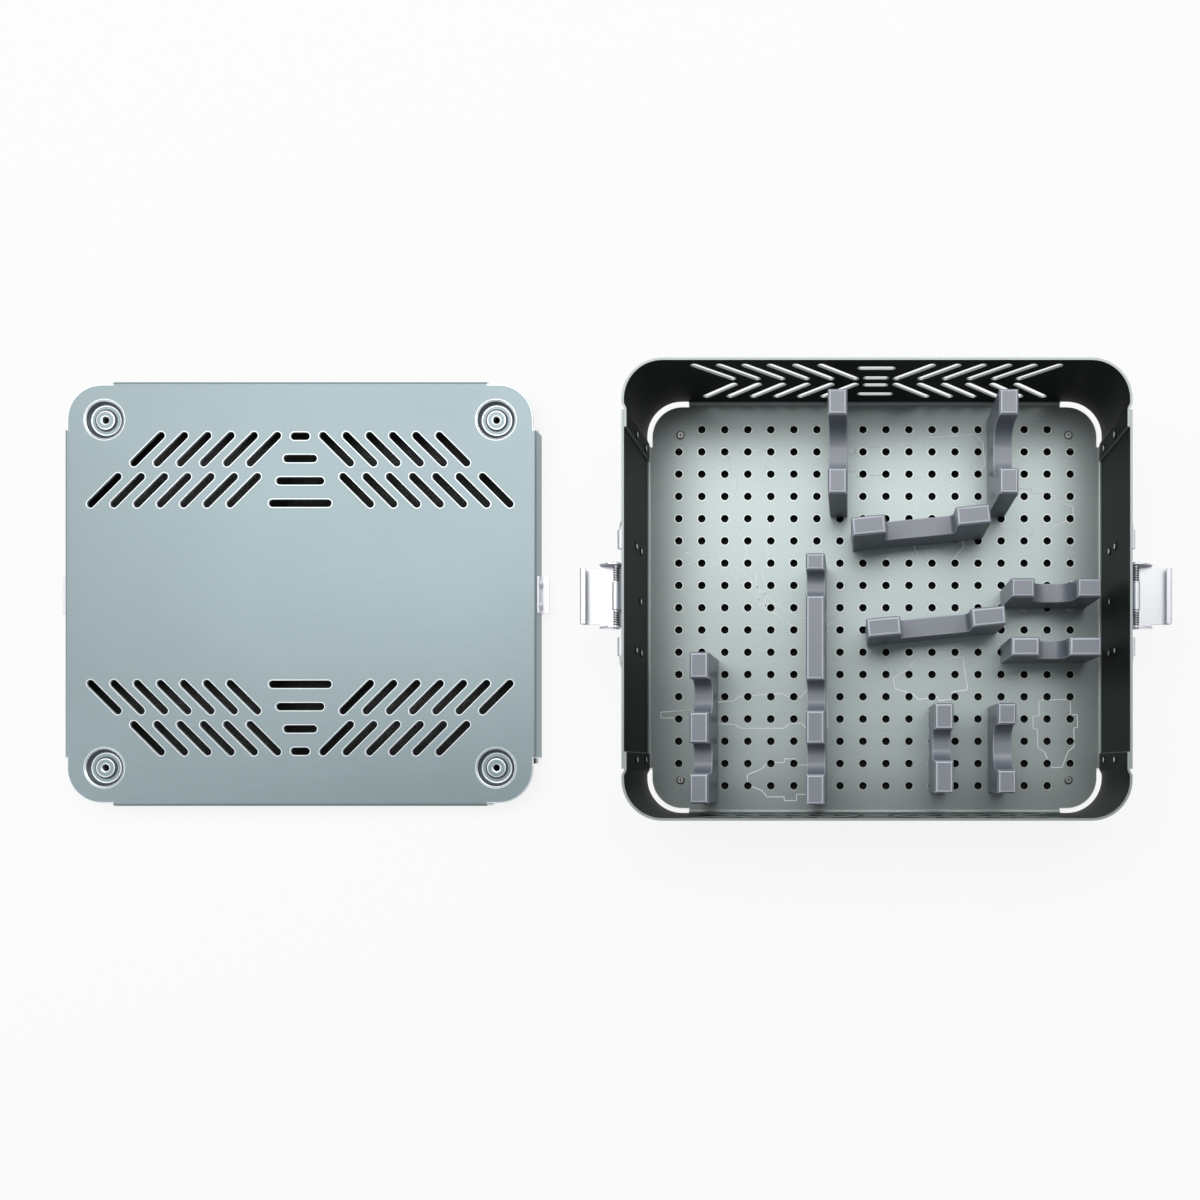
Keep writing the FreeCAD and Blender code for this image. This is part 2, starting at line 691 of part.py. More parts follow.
def screw_spots(x, y, turn, length):
    """Where the two screws of a holder stand, as (along, across) from its middle: in floor holes under it."""
    radius = size.holder_screw_radius.value
    most = size.holder_thickness.value / 2 - radius - size.holder_screw_cover.value
    play = size.hole_radius.value * math.cos(math.pi / 6) - radius
    reach = length / 2 - size.holder_screw_inset.value
    back = FreeCAD.Rotation(V(0, 0, 1), -turn)
    found = []
    for hole_x, hole_y in floor_holes():
        spot = back * (V(hole_x.value, hole_y.value, 0) - V(x, y, 0))
        if abs(spot.x) < reach and abs(spot.y) < most + play:
            found.append((spot.x, max(-most, min(most, spot.y))))
    return [min(found), max(found)]


def make_holder(name, x, y, turn, length, height_name, cuts):
    """A silicone holder: an upright block with saddles or a step cut from its top, and chamfered top edges."""
    body = new_body(name)
    height = getattr(size, height_name)
    block = new_sketch(body, "HolderBlock", "XZ_Plane")
    draw_box(block, -length / 2, 0, length / 2, height)
    latest = pad(body, block, size.holder_thickness, both_ways=True, name="HolderPad")
    for i, (kind, middle, width, depth) in enumerate(cuts):
        cut = new_sketch(body, f"Cut{i}", "XZ_Plane")
        rounding = size.saddle_rounding * width if kind == "saddle" else size.step_rounding
        left, right, low = middle - width / 2, middle + width / 2, height - depth
        draw_outline(cut, [(left, low, rounding), (right, low, rounding), (right, height + 1), (left, height + 1)])
        latest = cut_through(body, cut, name=f"Cut{i}Pocket")
    tops = edges_where(latest, lambda a, b: both(a, b, z=height))
    latest = add_feature(body, "Chamfer", "TopChamfer", Base=(latest, tops), Size=size.holder_chamfer)
    bores = new_sketch(body, "ScrewBores")
    for along, across in screw_spots(x, y, turn, length):
        draw_outline(bores, polygon(along, across, size.holder_screw_radius, RIVET_SIDES))
    add_feature(body, "Pocket", "ScrewBoreCut", Profile=bores, Length=size.holder_screw_depth, Reversed=True)
    place(body, x, y, floor_top, turn)
    return keep(body, name)


def make_holder_screws():
    """Two screws for each holder, up through holes of the floor, with their heads under it."""
    body = new_body("HolderScrews")
    heads, shanks = [], []
    for _, x, y, turn, length, _, _ in HOLDERS:
        for along, across in screw_spots(x, y, turn, length):
            spot = FreeCAD.Rotation(V(0, 0, 1), turn) * V(along, across, 0) + V(x, y, 0)
            heads.append(polygon(spot.x, spot.y, size.holder_screw_head, RIVET_SIDES, turn))
            shanks.append(polygon(spot.x, spot.y, size.holder_screw_radius, RIVET_SIDES, turn))
    head_height = size.holder_screw_head_height
    shank_length = t + size.holder_screw_depth
    for name, lift, outlines, length in (
        ("Head", floor_low - head_height, heads, head_height),
        ("Shank", floor_low, shanks, shank_length),
    ):
        sketch = new_sketch(body, f"{name}s", lift=lift)
        draw_fixed(sketch, outlines)
        pad(body, sketch, length, name=f"{name}Pad")
    keep(body, "holder_screws")


def make_latch(side, turn):
    """One latch: bracket with a rolled knuckle, pivot pin, two springs and the hooked lever, swung open."""
    steel = size.steel_thickness
    bracket = new_body(f"Bracket{side}")
    leg = new_sketch(bracket, "LegProfile", "XZ_Plane")
    shelf_low = pin_z - size.knuckle_radius
    draw_box(leg, half_x, floor_low + size.bracket_foot, half_x + steel, shelf_low + steel)
    pad(bracket, leg, size.bracket_width, both_ways=True, name="LegPad")
    shelf = new_sketch(bracket, "ShelfProfile", "XZ_Plane")
    draw_box(shelf, half_x, shelf_low, pin_x, shelf_low + steel)
    pad(bracket, shelf, size.knuckle_width, both_ways=True, name="ShelfPad")
    knuckle = new_sketch(bracket, "Knuckle", "XZ_Plane")
    draw_circle(knuckle, pin_x, pin_z, size.knuckle_radius)
    pad(bracket, knuckle, size.knuckle_width, both_ways=True, name="KnucklePad")
    bore = new_sketch(bracket, "KnuckleBore", "XZ_Plane")
    draw_circle(bore, pin_x, pin_z, size.pin_radius)
    cut_through(bracket, bore, name="KnuckleBoreCut")
    rivet = new_sketch(bracket, "BracketRivetHole", "YZ_Plane", lift=half_x + steel)
    draw_outline(rivet, polygon(0, floor_low + size.bracket_rivet, size.rivet_radius, RIVET_SIDES))
    add_feature(bracket, "Pocket", "BracketRivetCut", Profile=rivet, Length=steel)
    place(bracket, turn=turn)
    keep(bracket, f"latch_bracket_{side}")

    lever = new_body(f"Lever{side}")
    plate_low = pin_z - size.lever_drop
    end = pin_x + size.lever_reach
    hook_top = plate_low + size.hook_rise
    bend = size.hook_bend
    profile = new_sketch(lever, "LeverProfile", "XZ_Plane")
    draw_outline(
        profile,
        [
            (pin_x - size.lever_heel, plate_low),
            (end, plate_low, bend + steel),
            (end, hook_top, bend + steel),
            (end - size.hook_return, hook_top),
            (end - size.hook_return, hook_top - steel),
            (end - steel, hook_top - steel, bend),
            (end - steel, plate_low + steel, bend),
            (pin_x - size.lever_heel, plate_low + steel),
        ],
    )
    pad(lever, profile, size.lever_width, both_ways=True, name="LeverPad")
    cheeks = new_sketch(lever, "CheekProfile", "XZ_Plane")
    back, front = pin_x - size.cheek_radius, pin_x + size.cheek_reach
    draw_outline(
        cheeks,
        [
            (back, plate_low),
            (front, plate_low),
            (front, plate_low + steel * 3),
            (pin_x + size.cheek_radius, pin_z + size.cheek_radius),
            (back, pin_z + size.cheek_radius, size.cheek_radius - steel / 2),
        ],
    )
    wide = size.cheek_gap + steel * 2
    pad(lever, cheeks, wide, both_ways=True, name="CheekPad")
    between = new_sketch(lever, "BetweenCheeks", "XZ_Plane")
    draw_box(between, back - steel, plate_low + steel, front + steel, pin_z + size.cheek_radius + steel)
    add_feature(lever, "Pocket", "BetweenCut", Profile=between, Length=size.cheek_gap, Midplane=True)
    holes = new_sketch(lever, "PinHoles", "XZ_Plane")
    draw_circle(holes, pin_x, pin_z, size.pin_radius + size.running_gap)
    cut_through(lever, holes, name="PinHoleCut")
    place(lever, turn=turn)
    keep(lever, f"latch_lever_{side}")

    pin = new_body(f"Pin{side}")
    shank = new_sketch(pin, "PinShank", "XZ_Plane")
    draw_circle(shank, pin_x, pin_z, size.pin_radius)
    pad(pin, shank, wide + size.side_gap * 2, both_ways=True, name="ShankPad")
    for role_lift in (1, -1):
        head = new_sketch(pin, "PinHead", "XZ_Plane", lift=(wide / 2 + size.side_gap) * role_lift)
        draw_circle(head, pin_x, pin_z, size.pin_radius * 1.6)
        add_feature(pin, "Pad", "HeadPad", Profile=head, Length=steel * 0.7, Reversed=role_lift < 0)
    place(pin, turn=turn)
    keep(pin, f"latch_pin_{side}")

    spring = new_body(f"Spring{side}")
    half_wire = size.spring_wire / 2
    room = (size.cheek_gap - size.knuckle_width) / 2 - size.side_gap * 2 - size.spring_wire
    start = size.knuckle_width / 2 + size.side_gap + half_wire
    section = new_sketch(spring, "SpringWire", "YZ_Plane", lift=pin_x)
    draw_outline(section, polygon(start, pin_z + size.pin_radius + size.running_gap + half_wire, half_wire, 4))
    axis = new_sketch(spring, "CoilAxis", "YZ_Plane", lift=pin_x)
    line = axis.addGeometry(Part.LineSegment(V(0, pin_z.value, 0), V(room.value, pin_z.value, 0)), False)
    constrain(axis, pins(line, 1, 0, pin_z) + pins(line, 2, room, pin_z))
    coil = add_feature(spring, "AdditiveHelix", "Coil", Profile=section, ReferenceAxis=(axis, ["Edge1"]))
    coil.Mode = "height-turns-angle"
    bind(coil, "Height", room)
    bind(coil, "Turns", size.spring_turns)
    mirrored(spring, [coil], "OtherCoil", "XZ_Plane")
    place(spring, turn=turn)
    keep(spring, f"latch_springs_{side}")


def make_handle(side, turn):
    """A bail handle that hangs against the wall, and the two riveted clips that it swings in."""
    steel = size.steel_thickness
    clips = new_body(f"Clips{side}")
    strap = new_sketch(clips, "StrapProfile", "XZ_Plane")
    middle = size.clip_inner + size.clip_width / 2
    strap.setExpression("AttachmentOffset.Base.z", (-middle).text)
    draw_box(strap, half_x, floor_low + size.clip_foot, half_x + steel, clip_z)
    made = [pad(clips, strap, size.clip_width, both_ways=True, name="StrapPad")]
    roll = new_sketch(clips, "Roll", "XZ_Plane")
    roll.setExpression("AttachmentOffset.Base.z", (-middle).text)
    bore_radius = size.wire_radius + size.running_gap
    draw_circle(roll, clip_x, clip_z, bore_radius + steel)
    made.append(pad(clips, roll, size.clip_width, both_ways=True, name="RollPad"))
    bore = new_sketch(clips, "RollBore", "XZ_Plane")
    bore.setExpression("AttachmentOffset.Base.z", (-middle).text)
    draw_circle(bore, clip_x, clip_z, bore_radius)
    made.append(
        add_feature(clips, "Pocket", "RollBoreCut", Profile=bore, Length=size.clip_width * 1.2, Midplane=True)
    )
    rivets = new_sketch(clips, "ClipRivetHoles", "YZ_Plane", lift=half_x + steel)
    for y, z in clip_rivet_spots()[:2]:
        draw_outline(rivets, polygon(y, z, size.rivet_radius, RIVET_SIDES))
    made.append(add_feature(clips, "Pocket", "ClipRivetCut", Profile=rivets, Length=steel))
    mirrored(clips, made, "OtherClip", "XZ_Plane")
    place(clips, turn=turn)
    keep(clips, f"handle_clips_{side}")

    bail = new_body(f"Bail{side}")
    path = new_sketch(bail, "BailPath", "YZ_Plane", lift=clip_x)
    end = size.clip_inner + size.side_gap
    wide, bend = size.bail_half_width, size.bail_bend
    top, grip = clip_z, clip_z - size.bail_drop
    runs = [
        ((end, top), (wide - bend, top)),
        ((wide, top - bend), (wide, grip + bend)),
        ((wide - bend, grip), (bend - wide, grip)),
        ((-wide, grip + bend), (-wide, top - bend)),
        ((bend - wide, top), (-end, top)),
    ]
    centres = [(wide - bend, top - bend, 90), (wide - bend, grip + bend, 0)]
    centres += [(bend - wide, grip + bend, 270), (bend - wide, top - bend, 180)]
    for i, (a, b) in enumerate(runs):
        ends = [V(Size.of(p[0]).value, Size.of(p[1]).value, 0) for p in (a, b)]
        line = path.addGeometry(Part.LineSegment(*ends), False)
        constrain(path, pins(line, 1, *a) + pins(line, 2, *b))
    for i, (cy, cz, angle) in enumerate(centres):
        ring = Part.Circle(V(cy.value, cz.value, 0), V(0, 0, 1), bend.value)
        arc = path.addGeometry(
            Part.ArcOfCircle(ring, math.radians(angle - 90), math.radians(angle)), False
        )
        for arc_end, run, run_end in ((2, i, 2), (1, i + 1, 1)):
            constrain(path, [(Sketcher.Constraint("Coincident", arc, arc_end, run, run_end), None)])
    section = new_sketch(bail, "WireSection", "XZ_Plane")
    section.setExpression("AttachmentOffset.Base.z", (-end).text)
    draw_outline(section, polygon(clip_x, clip_z, size.wire_radius, WIRE_SIDES))
    doc.recompute()
    edges = [f"Edge{i + 1}" for i in range(len(path.Shape.Edges))]
    add_feature(bail, "AdditivePipe", "BailWire", Profile=section, Spine=(path, edges))
    place(bail, turn=turn)
    keep(bail, f"bail_handle_{side}")


def make_lid():
    """The stamped lid: four flanges, four stacking recesses and the vent slots."""
    body = new_body("Lid")
    top = size.lid_drop
    plan = new_sketch(body, "LidPlan", lift=top - t)
    edge_x, edge_y = lid_half_x - lid_fold_outer, lid_half_y - lid_fold_outer
    draw_fixed(plan, lid_slots())
    draw_outline(plan, [(edge_x * sx, edge_y * sy, size.lid_corner_radius) for sx, sy in SIDES])
    pad(body, plan, t, name="LidPad")
    made = []
    for name, role, half, length in (
        ("Side", "XZ_Plane", lid_half_x, size.lid_flange_y),
        ("End", "YZ_Plane", lid_half_y, size.lid_flange_x),
    ):
        profile = new_sketch(body, f"{name}FlangeProfile", role)
        draw_outline(
            profile,
            [
                (half - lid_fold_outer, top),
                (half, top, lid_fold_outer),
                (half, 0),
                (half - t, 0),
                (half - t, top - t, size.lid_fold_radius),
                (half - lid_fold_outer, top - t),
            ],
        )
        made.append(pad(body, profile, length, both_ways=True, name=f"{name}FlangePad"))
    mirrored(body, made, "OtherFlanges", "YZ_Plane", "XZ_Plane")
    catch_holes = new_sketch(body, "CatchRivetHoles", "YZ_Plane")
    for y, z in catch_rivet_spots():
        draw_outline(catch_holes, polygon(y, z, size.rivet_radius, RIVET_SIDES))
    cut_through(body, catch_holes, name="CatchRivetCut")
    floor_z = top - size.recess_depth
    boss_z = floor_z + size.recess_boss_height
    recess = [("RecessBulge", "Revolution"), ("RecessCut", "Groove")]
    profiles = [
        [
            (0, top - t),
            (0, floor_z - t),
            (size.recess_floor_radius, floor_z - t),
            (size.recess_radius, top - t),
        ],
        [
            (0, floor_z - t),
            (size.recess_hole_radius, floor_z - t),
            (size.recess_hole_radius, boss_z),
            (size.recess_boss_radius, boss_z),
            (size.recess_boss_radius, floor_z),
            (size.recess_floor_radius, floor_z),
            (size.recess_radius, top),
            (0, top),
        ],
    ]
    made = []
    for (name, kind), profile in zip(recess, profiles):
        sketch = new_sketch(body, f"{name}Profile", "XZ_Plane")
        sketch.setExpression("AttachmentOffset.Base.x", (size.foot_spacing_x / 2).text)
        sketch.setExpression("AttachmentOffset.Base.z", (-(size.foot_spacing_y / 2)).text)
        draw_outline(sketch, profile)
        made.append(
            add_feature(body, kind, name, Profile=sketch, ReferenceAxis=(sketch, ["V_Axis"]), Angle=360)
        )
    mirrored(body, made, "Recesses", "YZ_Plane", "XZ_Plane")
    place(body, -size.lid_away_x, size.lid_away_y)
    return keep(body, "lid")


def lid_slots():
    """Outlines of the vent slots: level ones in the middle, slanted ones in two rows on either side."""
    slots = []
    for row in range(int(size.lid_bar_count.value)):
        reach = (size.lid_bar_long - size.lid_bar_step * row - size.lid_slot_width) / 2
        y = size.lid_bar_first + size.lid_bar_pitch * row
        slots += [slot(-reach, y * side, reach, y * side, size.lid_slot_width, 0) for side in (1, -1)]
    run = size.lid_slot_run
    for start, far, count in (
        (size.lid_outer_row_x, size.lid_outer_row_y, size.lid_outer_count),
        (size.lid_inner_row_x, size.lid_inner_row_y, size.lid_inner_count),
    ):
        for i in range(int(count.value)):
            x = start + size.lid_slot_pitch * i
            for sx, sy in SIDES:
                ends = (x * sx, far * sy, (x + run) * sx, (far - run) * sy)
                slope = math.degrees(math.atan2(-sy, sx))
                slots.append(slot(*ends, size.lid_slot_width, slope))
    return slots


def catch_ledge():
    """Top of the catch ledge above the lid flange's lower edge, just under the end of the closed hook."""
    closed_hook_low = pin_z + size.lever_reach - size.hook_return
    flange_low = rim + t - size.lid_drop
    return closed_hook_low - size.catch_gap - flange_low


def catch_top():
    return size.lid_drop - lid_fold_outer


def catch_rivet_spots():
    height = (catch_ledge() + catch_top()) / 2
    return [(size.catch_rivets / 2 * side, height) for side in (1, -1)]


def make_catches():
    """The two catch plates on the lid's flanges, and their rivets."""
    steel = size.steel_thickness
    body = new_body("Catches")
    profile = new_sketch(body, "CatchProfile", "XZ_Plane")
    ledge = catch_ledge()
    reach = pin_x + steel
    face = lid_half_x + steel
    draw_outline(
        profile,
        [
            (lid_half_x, size.catch_foot),
            (face, size.catch_foot),
            (face, ledge - steel),
            (reach, ledge - steel),
            (reach, ledge),
            (face, ledge),
            (face, catch_top()),
            (lid_half_x, catch_top()),
        ],
    )
    plate = pad(body, profile, size.catch_width, both_ways=True, name="CatchPad")
    holes = new_sketch(body, "CatchHoles", "YZ_Plane", lift=face)
    for y, z in catch_rivet_spots():
        draw_outline(holes, polygon(y, z, size.rivet_radius, RIVET_SIDES))
    cut = add_feature(body, "Pocket", "CatchHoleCut", Profile=holes, Length=steel)
    mirrored(body, [plate, cut], "OtherCatch", "YZ_Plane")
    place(body, -size.lid_away_x, size.lid_away_y)
    keep(body, "lid_catches")
    head = size.rivet_head_height
    rivets = make_rivets(
        "lid_catch_rivets",
        "YZ_Plane",
        catch_rivet_spots(),
        [
            (lid_half_x - t - head, head, size.catch_rivet_head),
            (lid_half_x - t, t + steel, size.rivet_radius),
            (face, head, size.catch_rivet_head),
        ],
        "YZ_Plane",
    )
    place(rivets, -size.lid_away_x, size.lid_away_y)


def check_and_write():
    doc.recompute()
    for item in doc.Objects:
        if any(word in ("Invalid", "Error") for word in item.State):
            raise RuntimeError(f"{item.Label} did not build: {item.State}")
    for part in PARTS:
        if part.Shape.isNull() or not part.Shape.isValid():
            raise RuntimeError(f"{part.Label} has no valid shape")
    os.makedirs("parts", exist_ok=True)
    for part in PARTS:
        part.Shape.exportStep(f"parts/{part.Label}.step")
        box = part.Shape.BoundBox
        print(
            f"{part.Label}: {len(part.Shape.Solids)} solids, {part.Shape.Volume:.0f} mm3,"
            f" x {box.XMin:.1f} to {box.XMax:.1f}, y {box.YMin:.1f} to {box.YMax:.1f},"
            f" z {box.ZMin:.1f} to {box.ZMax:.1f}"
        )


def main():
    make_floor()
    for label, turn in (("side_panel_right", 0), ("side_panel_left", 180)):
        make_side_panel(label, turn)
    for label, turn in (("back_wall", 0), ("front_wall", 180)):
        make_wall(label, turn)
    make_base_rivets()
    make_feet()
    for holder in HOLDERS:
        make_holder(*holder)
    make_holder_screws()
    for side, turn in (("right", 0), ("left", 180)):
        make_latch(side, turn)
        make_handle(side, turn)
    make_lid()
    make_catches()
    check_and_write()


main()
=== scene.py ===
"""Looks of the sterilization container: punched and folded sheets, turned recesses, domed rivets, wound
springs, moulded silicone and polished steel.

Everything is in metres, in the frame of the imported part.
"""

import json
import math

import bmesh
import bpy
from mathutils import Matrix, Vector
from mathutils.geometry import delaunay_2d_cdt


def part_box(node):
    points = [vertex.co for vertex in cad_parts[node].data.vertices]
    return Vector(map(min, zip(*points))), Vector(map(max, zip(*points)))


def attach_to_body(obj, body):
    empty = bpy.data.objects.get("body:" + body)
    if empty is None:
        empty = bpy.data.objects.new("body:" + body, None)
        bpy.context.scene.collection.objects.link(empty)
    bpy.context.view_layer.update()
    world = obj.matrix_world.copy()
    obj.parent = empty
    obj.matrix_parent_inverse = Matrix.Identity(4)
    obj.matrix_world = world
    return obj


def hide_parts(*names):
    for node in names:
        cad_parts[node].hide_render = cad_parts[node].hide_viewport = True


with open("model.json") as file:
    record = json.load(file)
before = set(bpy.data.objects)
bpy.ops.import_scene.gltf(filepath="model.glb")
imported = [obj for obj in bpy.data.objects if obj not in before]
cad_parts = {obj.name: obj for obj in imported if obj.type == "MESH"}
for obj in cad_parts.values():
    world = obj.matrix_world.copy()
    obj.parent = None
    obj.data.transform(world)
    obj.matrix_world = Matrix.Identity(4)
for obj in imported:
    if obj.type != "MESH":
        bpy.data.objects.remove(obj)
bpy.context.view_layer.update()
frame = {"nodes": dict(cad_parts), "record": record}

MM = 0.001

# The photograph's camera: it looks straight down from over the front of the base
PHOTO_SIZE = 1200
FOOT_POINT_PX = (852.5, 766)
CAMERA_PLACE = (-14.3 * MM, -103.1 * MM, 655.5 * MM)
FOCAL_PX = 998
SENSOR = 36

# The base: sheet, folds and corners
SHEET = 1.5 * MM
PUNCHED_CHAMFER = 0.2 * MM
WALL_CHAMFER = 0.15 * MM
FOLD_INNER = 1.5 * MM
FOLD_OUTER = FOLD_INNER + SHEET
FLOOR_LOW, FLOOR_TOP = (corner.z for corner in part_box("floor_plate"))
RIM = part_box("back_wall")[1].z
HALF_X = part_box("side_panel_right")[1].x
HALF_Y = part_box("back_wall")[1].y
PANEL_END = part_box("side_panel_right")[1].y
CORNER_RADIUS = 24 * MM
JOGGLE_START = 2 * MM
JOGGLE_RUN = 4 * MM
LAP_END = PANEL_END - 10 * MM
FOLD_END = HALF_X - CORNER_RADIUS - 4.2 * MM
RELIEF = SHEET + 2.8 * MM

# The pale strip at each corner of the ground's painted-shade footprints, where the corners are open
OPEN_CORNER = 6.5 * MM
OPEN_CORNER_RUN = 5 * MM

# Painted shade and painted reflection on the floor towards the walls: gap to the wall where it is darkest
# and where it is clear, then the factor at each
WALL_SHADE = (8 * MM, 44 * MM, 0.78, 1)

# Holes and slots of the base
HOLE_PITCH = (15 * MM, 14.5 * MM)
HOLE_COUNT = (18, 17)
HOLE_RADIUS = 2.45 * MM
WALL_SLOT_WIDTH = 4.6 * MM
ARROW_MIDDLE = FLOOR_LOW + 37.2 * MM
ARROW_RISE = 20 * MM
ARROW_START = 12.7 * MM
ARROW_PITCH = 15 * MM
ARROW_COUNT = 6
ARROW_GAP = 9.3 * MM
WALL_BARS = ((20.5 * MM, 22.6 * MM), (5.6 * MM, 15.6 * MM))

# The lid and its slots
LID_LOW, LID_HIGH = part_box("lid")
LID_MIDDLE = (LID_LOW + LID_HIGH) / 2
LID_TOP = LID_HIGH.z
LID_HALF_X = (LID_HIGH.x - LID_LOW.x) / 2
LID_HALF_Y = (LID_HIGH.y - LID_LOW.y) / 2
LID_FOLD_INNER = 0.5 * MM
LID_FOLD_OUTER = LID_FOLD_INNER + SHEET
LID_CORNER_RADIUS = 22.5 * MM
LID_FLANGES = (242 * MM, 212 * MM)
LID_SLOT_WIDTH = 4.8 * MM
LID_SLOT_RUN = 17.6 * MM
LID_SLOT_PITCH = 15 * MM
LID_ROWS = ((14.7 * MM, 102 * MM, 6), (27.6 * MM, 75.5 * MM, 7))
LID_BARS = [((58.4 + 14.4 * row) * MM, (40.5 - 9.4 * row) * MM) for row in range(4)]
RECESS_SPACING = (252.5 * MM, 224.5 * MM)
RECESS_RADIUS = 12.8 * MM

# Latches and handles
WIRE_RADIUS = 1.75 * MM
BAIL_BEND = 5 * MM
BAIL_END = 26.65 * MM
SPRING_WIRE = 0.45 * MM
SPRING_TURNS = 6
RIVET_SHANK = 1.6 * MM
RIVET_HEAD = 0.9 * MM
# Radius of the painted highlight on the inner rivet heads
RIVET_HIGHLIGHT = 1.3 * MM
SCREW_HEAD = 1.9 * MM
CROSS_DEPTH = 0.45 * MM
CROSS_REACH = 1.3 * MM
CROSS_HALF_WIDTH = 0.3 * MM

SIDES = ((1, 1), (-1, 1), (-1, -1), (1, -1))


# Shader helpers

def new_material(name):
    material = bpy.data.materials.new(name)
    material.use_nodes = True
    return material, material.node_tree, material.node_tree.nodes["Principled BSDF"]


def add_node(tree, kind, **settings):
    """A shader node: settings that name an input socket are its value, and the others are its properties."""
    node = tree.nodes.new(kind)
    for key, value in settings.items():
        label = key.replace("_", " ").title()
        if label in node.inputs:
            node.inputs[label].default_value = value
        else:
            setattr(node, key, value)
    return node


def object_coordinates(tree, scale):
    """Object coordinates in metres, scaled along each axis."""
    place = add_node(tree, "ShaderNodeTexCoord")
    mapping = add_node(tree, "ShaderNodeMapping", scale=scale)
    tree.links.new(place.outputs["Object"], mapping.inputs["Vector"])
    return mapping.outputs["Vector"]


def noise(tree, vector, detail=4, roughness=0.6):
    node = add_node(tree, "ShaderNodeTexNoise", scale=1, detail=detail, roughness=roughness)
    tree.links.new(vector, node.inputs["Vector"])
    return node.outputs["Fac"]


def ramp(tree, factor, *stops):
    """A colour ramp: stops are (place, colour)."""
    node = add_node(tree, "ShaderNodeValToRGB")
    elements = node.color_ramp.elements
    while len(elements) < len(stops):
        elements.new(0.5)
    for element, (place, colour) in zip(elements, stops):
        element.position = place
        element.color = (*colour, 1)
    tree.links.new(factor, node.inputs["Fac"])
    return node.outputs["Color"]


def to_range(tree, value, low, high):
    node = add_node(tree, "ShaderNodeMapRange")
    node.inputs["To Min"].default_value = low
    node.inputs["To Max"].default_value = high
    tree.links.new(value, node.inputs["Value"])
    return node.outputs["Result"]


def calculate(tree, kind, *values):
    """A Math node on numbers and other nodes' outputs."""
    node = add_node(tree, "ShaderNodeMath", operation=kind)
    for socket, value in zip(node.inputs, values):
        if isinstance(value, (int, float)):
            socket.default_value = value
        else:
            tree.links.new(value, socket)
    return node.outputs[0]


def bump(tree, shader, height, strength, distance):
    node = add_node(tree, "ShaderNodeBump", strength=strength, distance=distance)
    tree.links.new(height, node.inputs["Height"])
    tree.links.new(node.outputs["Normal"], shader.inputs["Normal"])


def shade(colour, factor):
    return tuple(channel * factor for channel in colour)


# Materials

def paint_wall_shade(tree, colour):
    """Darkens a colour of the floor towards the walls, as painted shade and a painted reflection of their
    dark tone.
    """
    place = add_node(tree, "ShaderNodeTexCoord")
    apart = add_node(tree, "ShaderNodeSeparateXYZ")
    tree.links.new(place.outputs["Object"], apart.inputs["Vector"])
    gaps = []
    for axis, half in (("X", HALF_X), ("Y", HALF_Y)):
        away = calculate(tree, "ABSOLUTE", apart.outputs[axis])
        gaps.append(calculate(tree, "SUBTRACT", half, away))
    node = add_node(tree, "ShaderNodeMapRange", interpolation_type="SMOOTHSTEP")
    for label, value in zip(("From Min", "From Max", "To Min", "To Max"), WALL_SHADE):
        node.inputs[label].default_value = value
    tree.links.new(calculate(tree, "MINIMUM", *gaps), node.inputs["Value"])
    scaled = add_node(tree, "ShaderNodeVectorMath", operation="SCALE")
    tree.links.new(colour, scaled.inputs[0])
    tree.links.new(node.outputs["Result"], scaled.inputs["Scale"])
    return scaled.outputs["Vector"]


def brushed_sheet(name, colour, roughness=0.42, metallic=0.6, contrast=0.08, specular=0.5, wall_shaded=False):
    """Anodised aluminium sheet with a fine grain along X and soft clouding."""
    material, tree, shader = new_material(name)
    grain = noise(tree, object_coordinates(tree, (60, 2400, 2400)), detail=3)
    speckle = noise(tree, object_coordinates(tree, (900, 900, 900)), detail=2)
    cloud = noise(tree, object_coordinates(tree, (9, 9, 9)), detail=2)
    mixed = calculate(tree, "MULTIPLY", grain, 0.4)
    for finer in (speckle, cloud):
        mixed = calculate(tree, "ADD", mixed, calculate(tree, "MULTIPLY", finer, 0.3))
    dark, light = shade(colour, 1 - contrast), shade(colour, 1 + contrast)
    finish = ramp(tree, mixed, (0.35, dark), (0.65, light))
    # On the floor, the colour takes painted shade and a painted reflection of the walls towards them
    tree.links.new(paint_wall_shade(tree, finish) if wall_shaded else finish, shader.inputs["Base Color"])
    tree.links.new(to_range(tree, grain, roughness - 0.06, roughness + 0.06), shader.inputs["Roughness"])
    shader.inputs["Metallic"].default_value = metallic
    shader.inputs["Specular IOR Level"].default_value = specular
    bump(tree, shader, grain, 0.1, 0.02 * MM)
    return material


def polished_steel(name, colour=(0.78, 0.79, 0.80), roughness=0.22):
    """Bright stainless steel with faint handling marks."""
    material, tree, shader = new_material(name)
    marks = noise(tree, object_coordinates(tree, (500, 500, 500)), detail=5)
    tree.links.new(ramp(tree, marks, (0.3, shade(colour, 0.92)), (0.7, colour)), shader.inputs["Base Color"])
    tree.links.new(to_range(tree, marks, roughness - 0.05, roughness + 0.08), shader.inputs["Roughness"])
    shader.inputs["Metallic"].default_value = 1
    bump(tree, shader, marks, 0.05, 0.02 * MM)
    return material


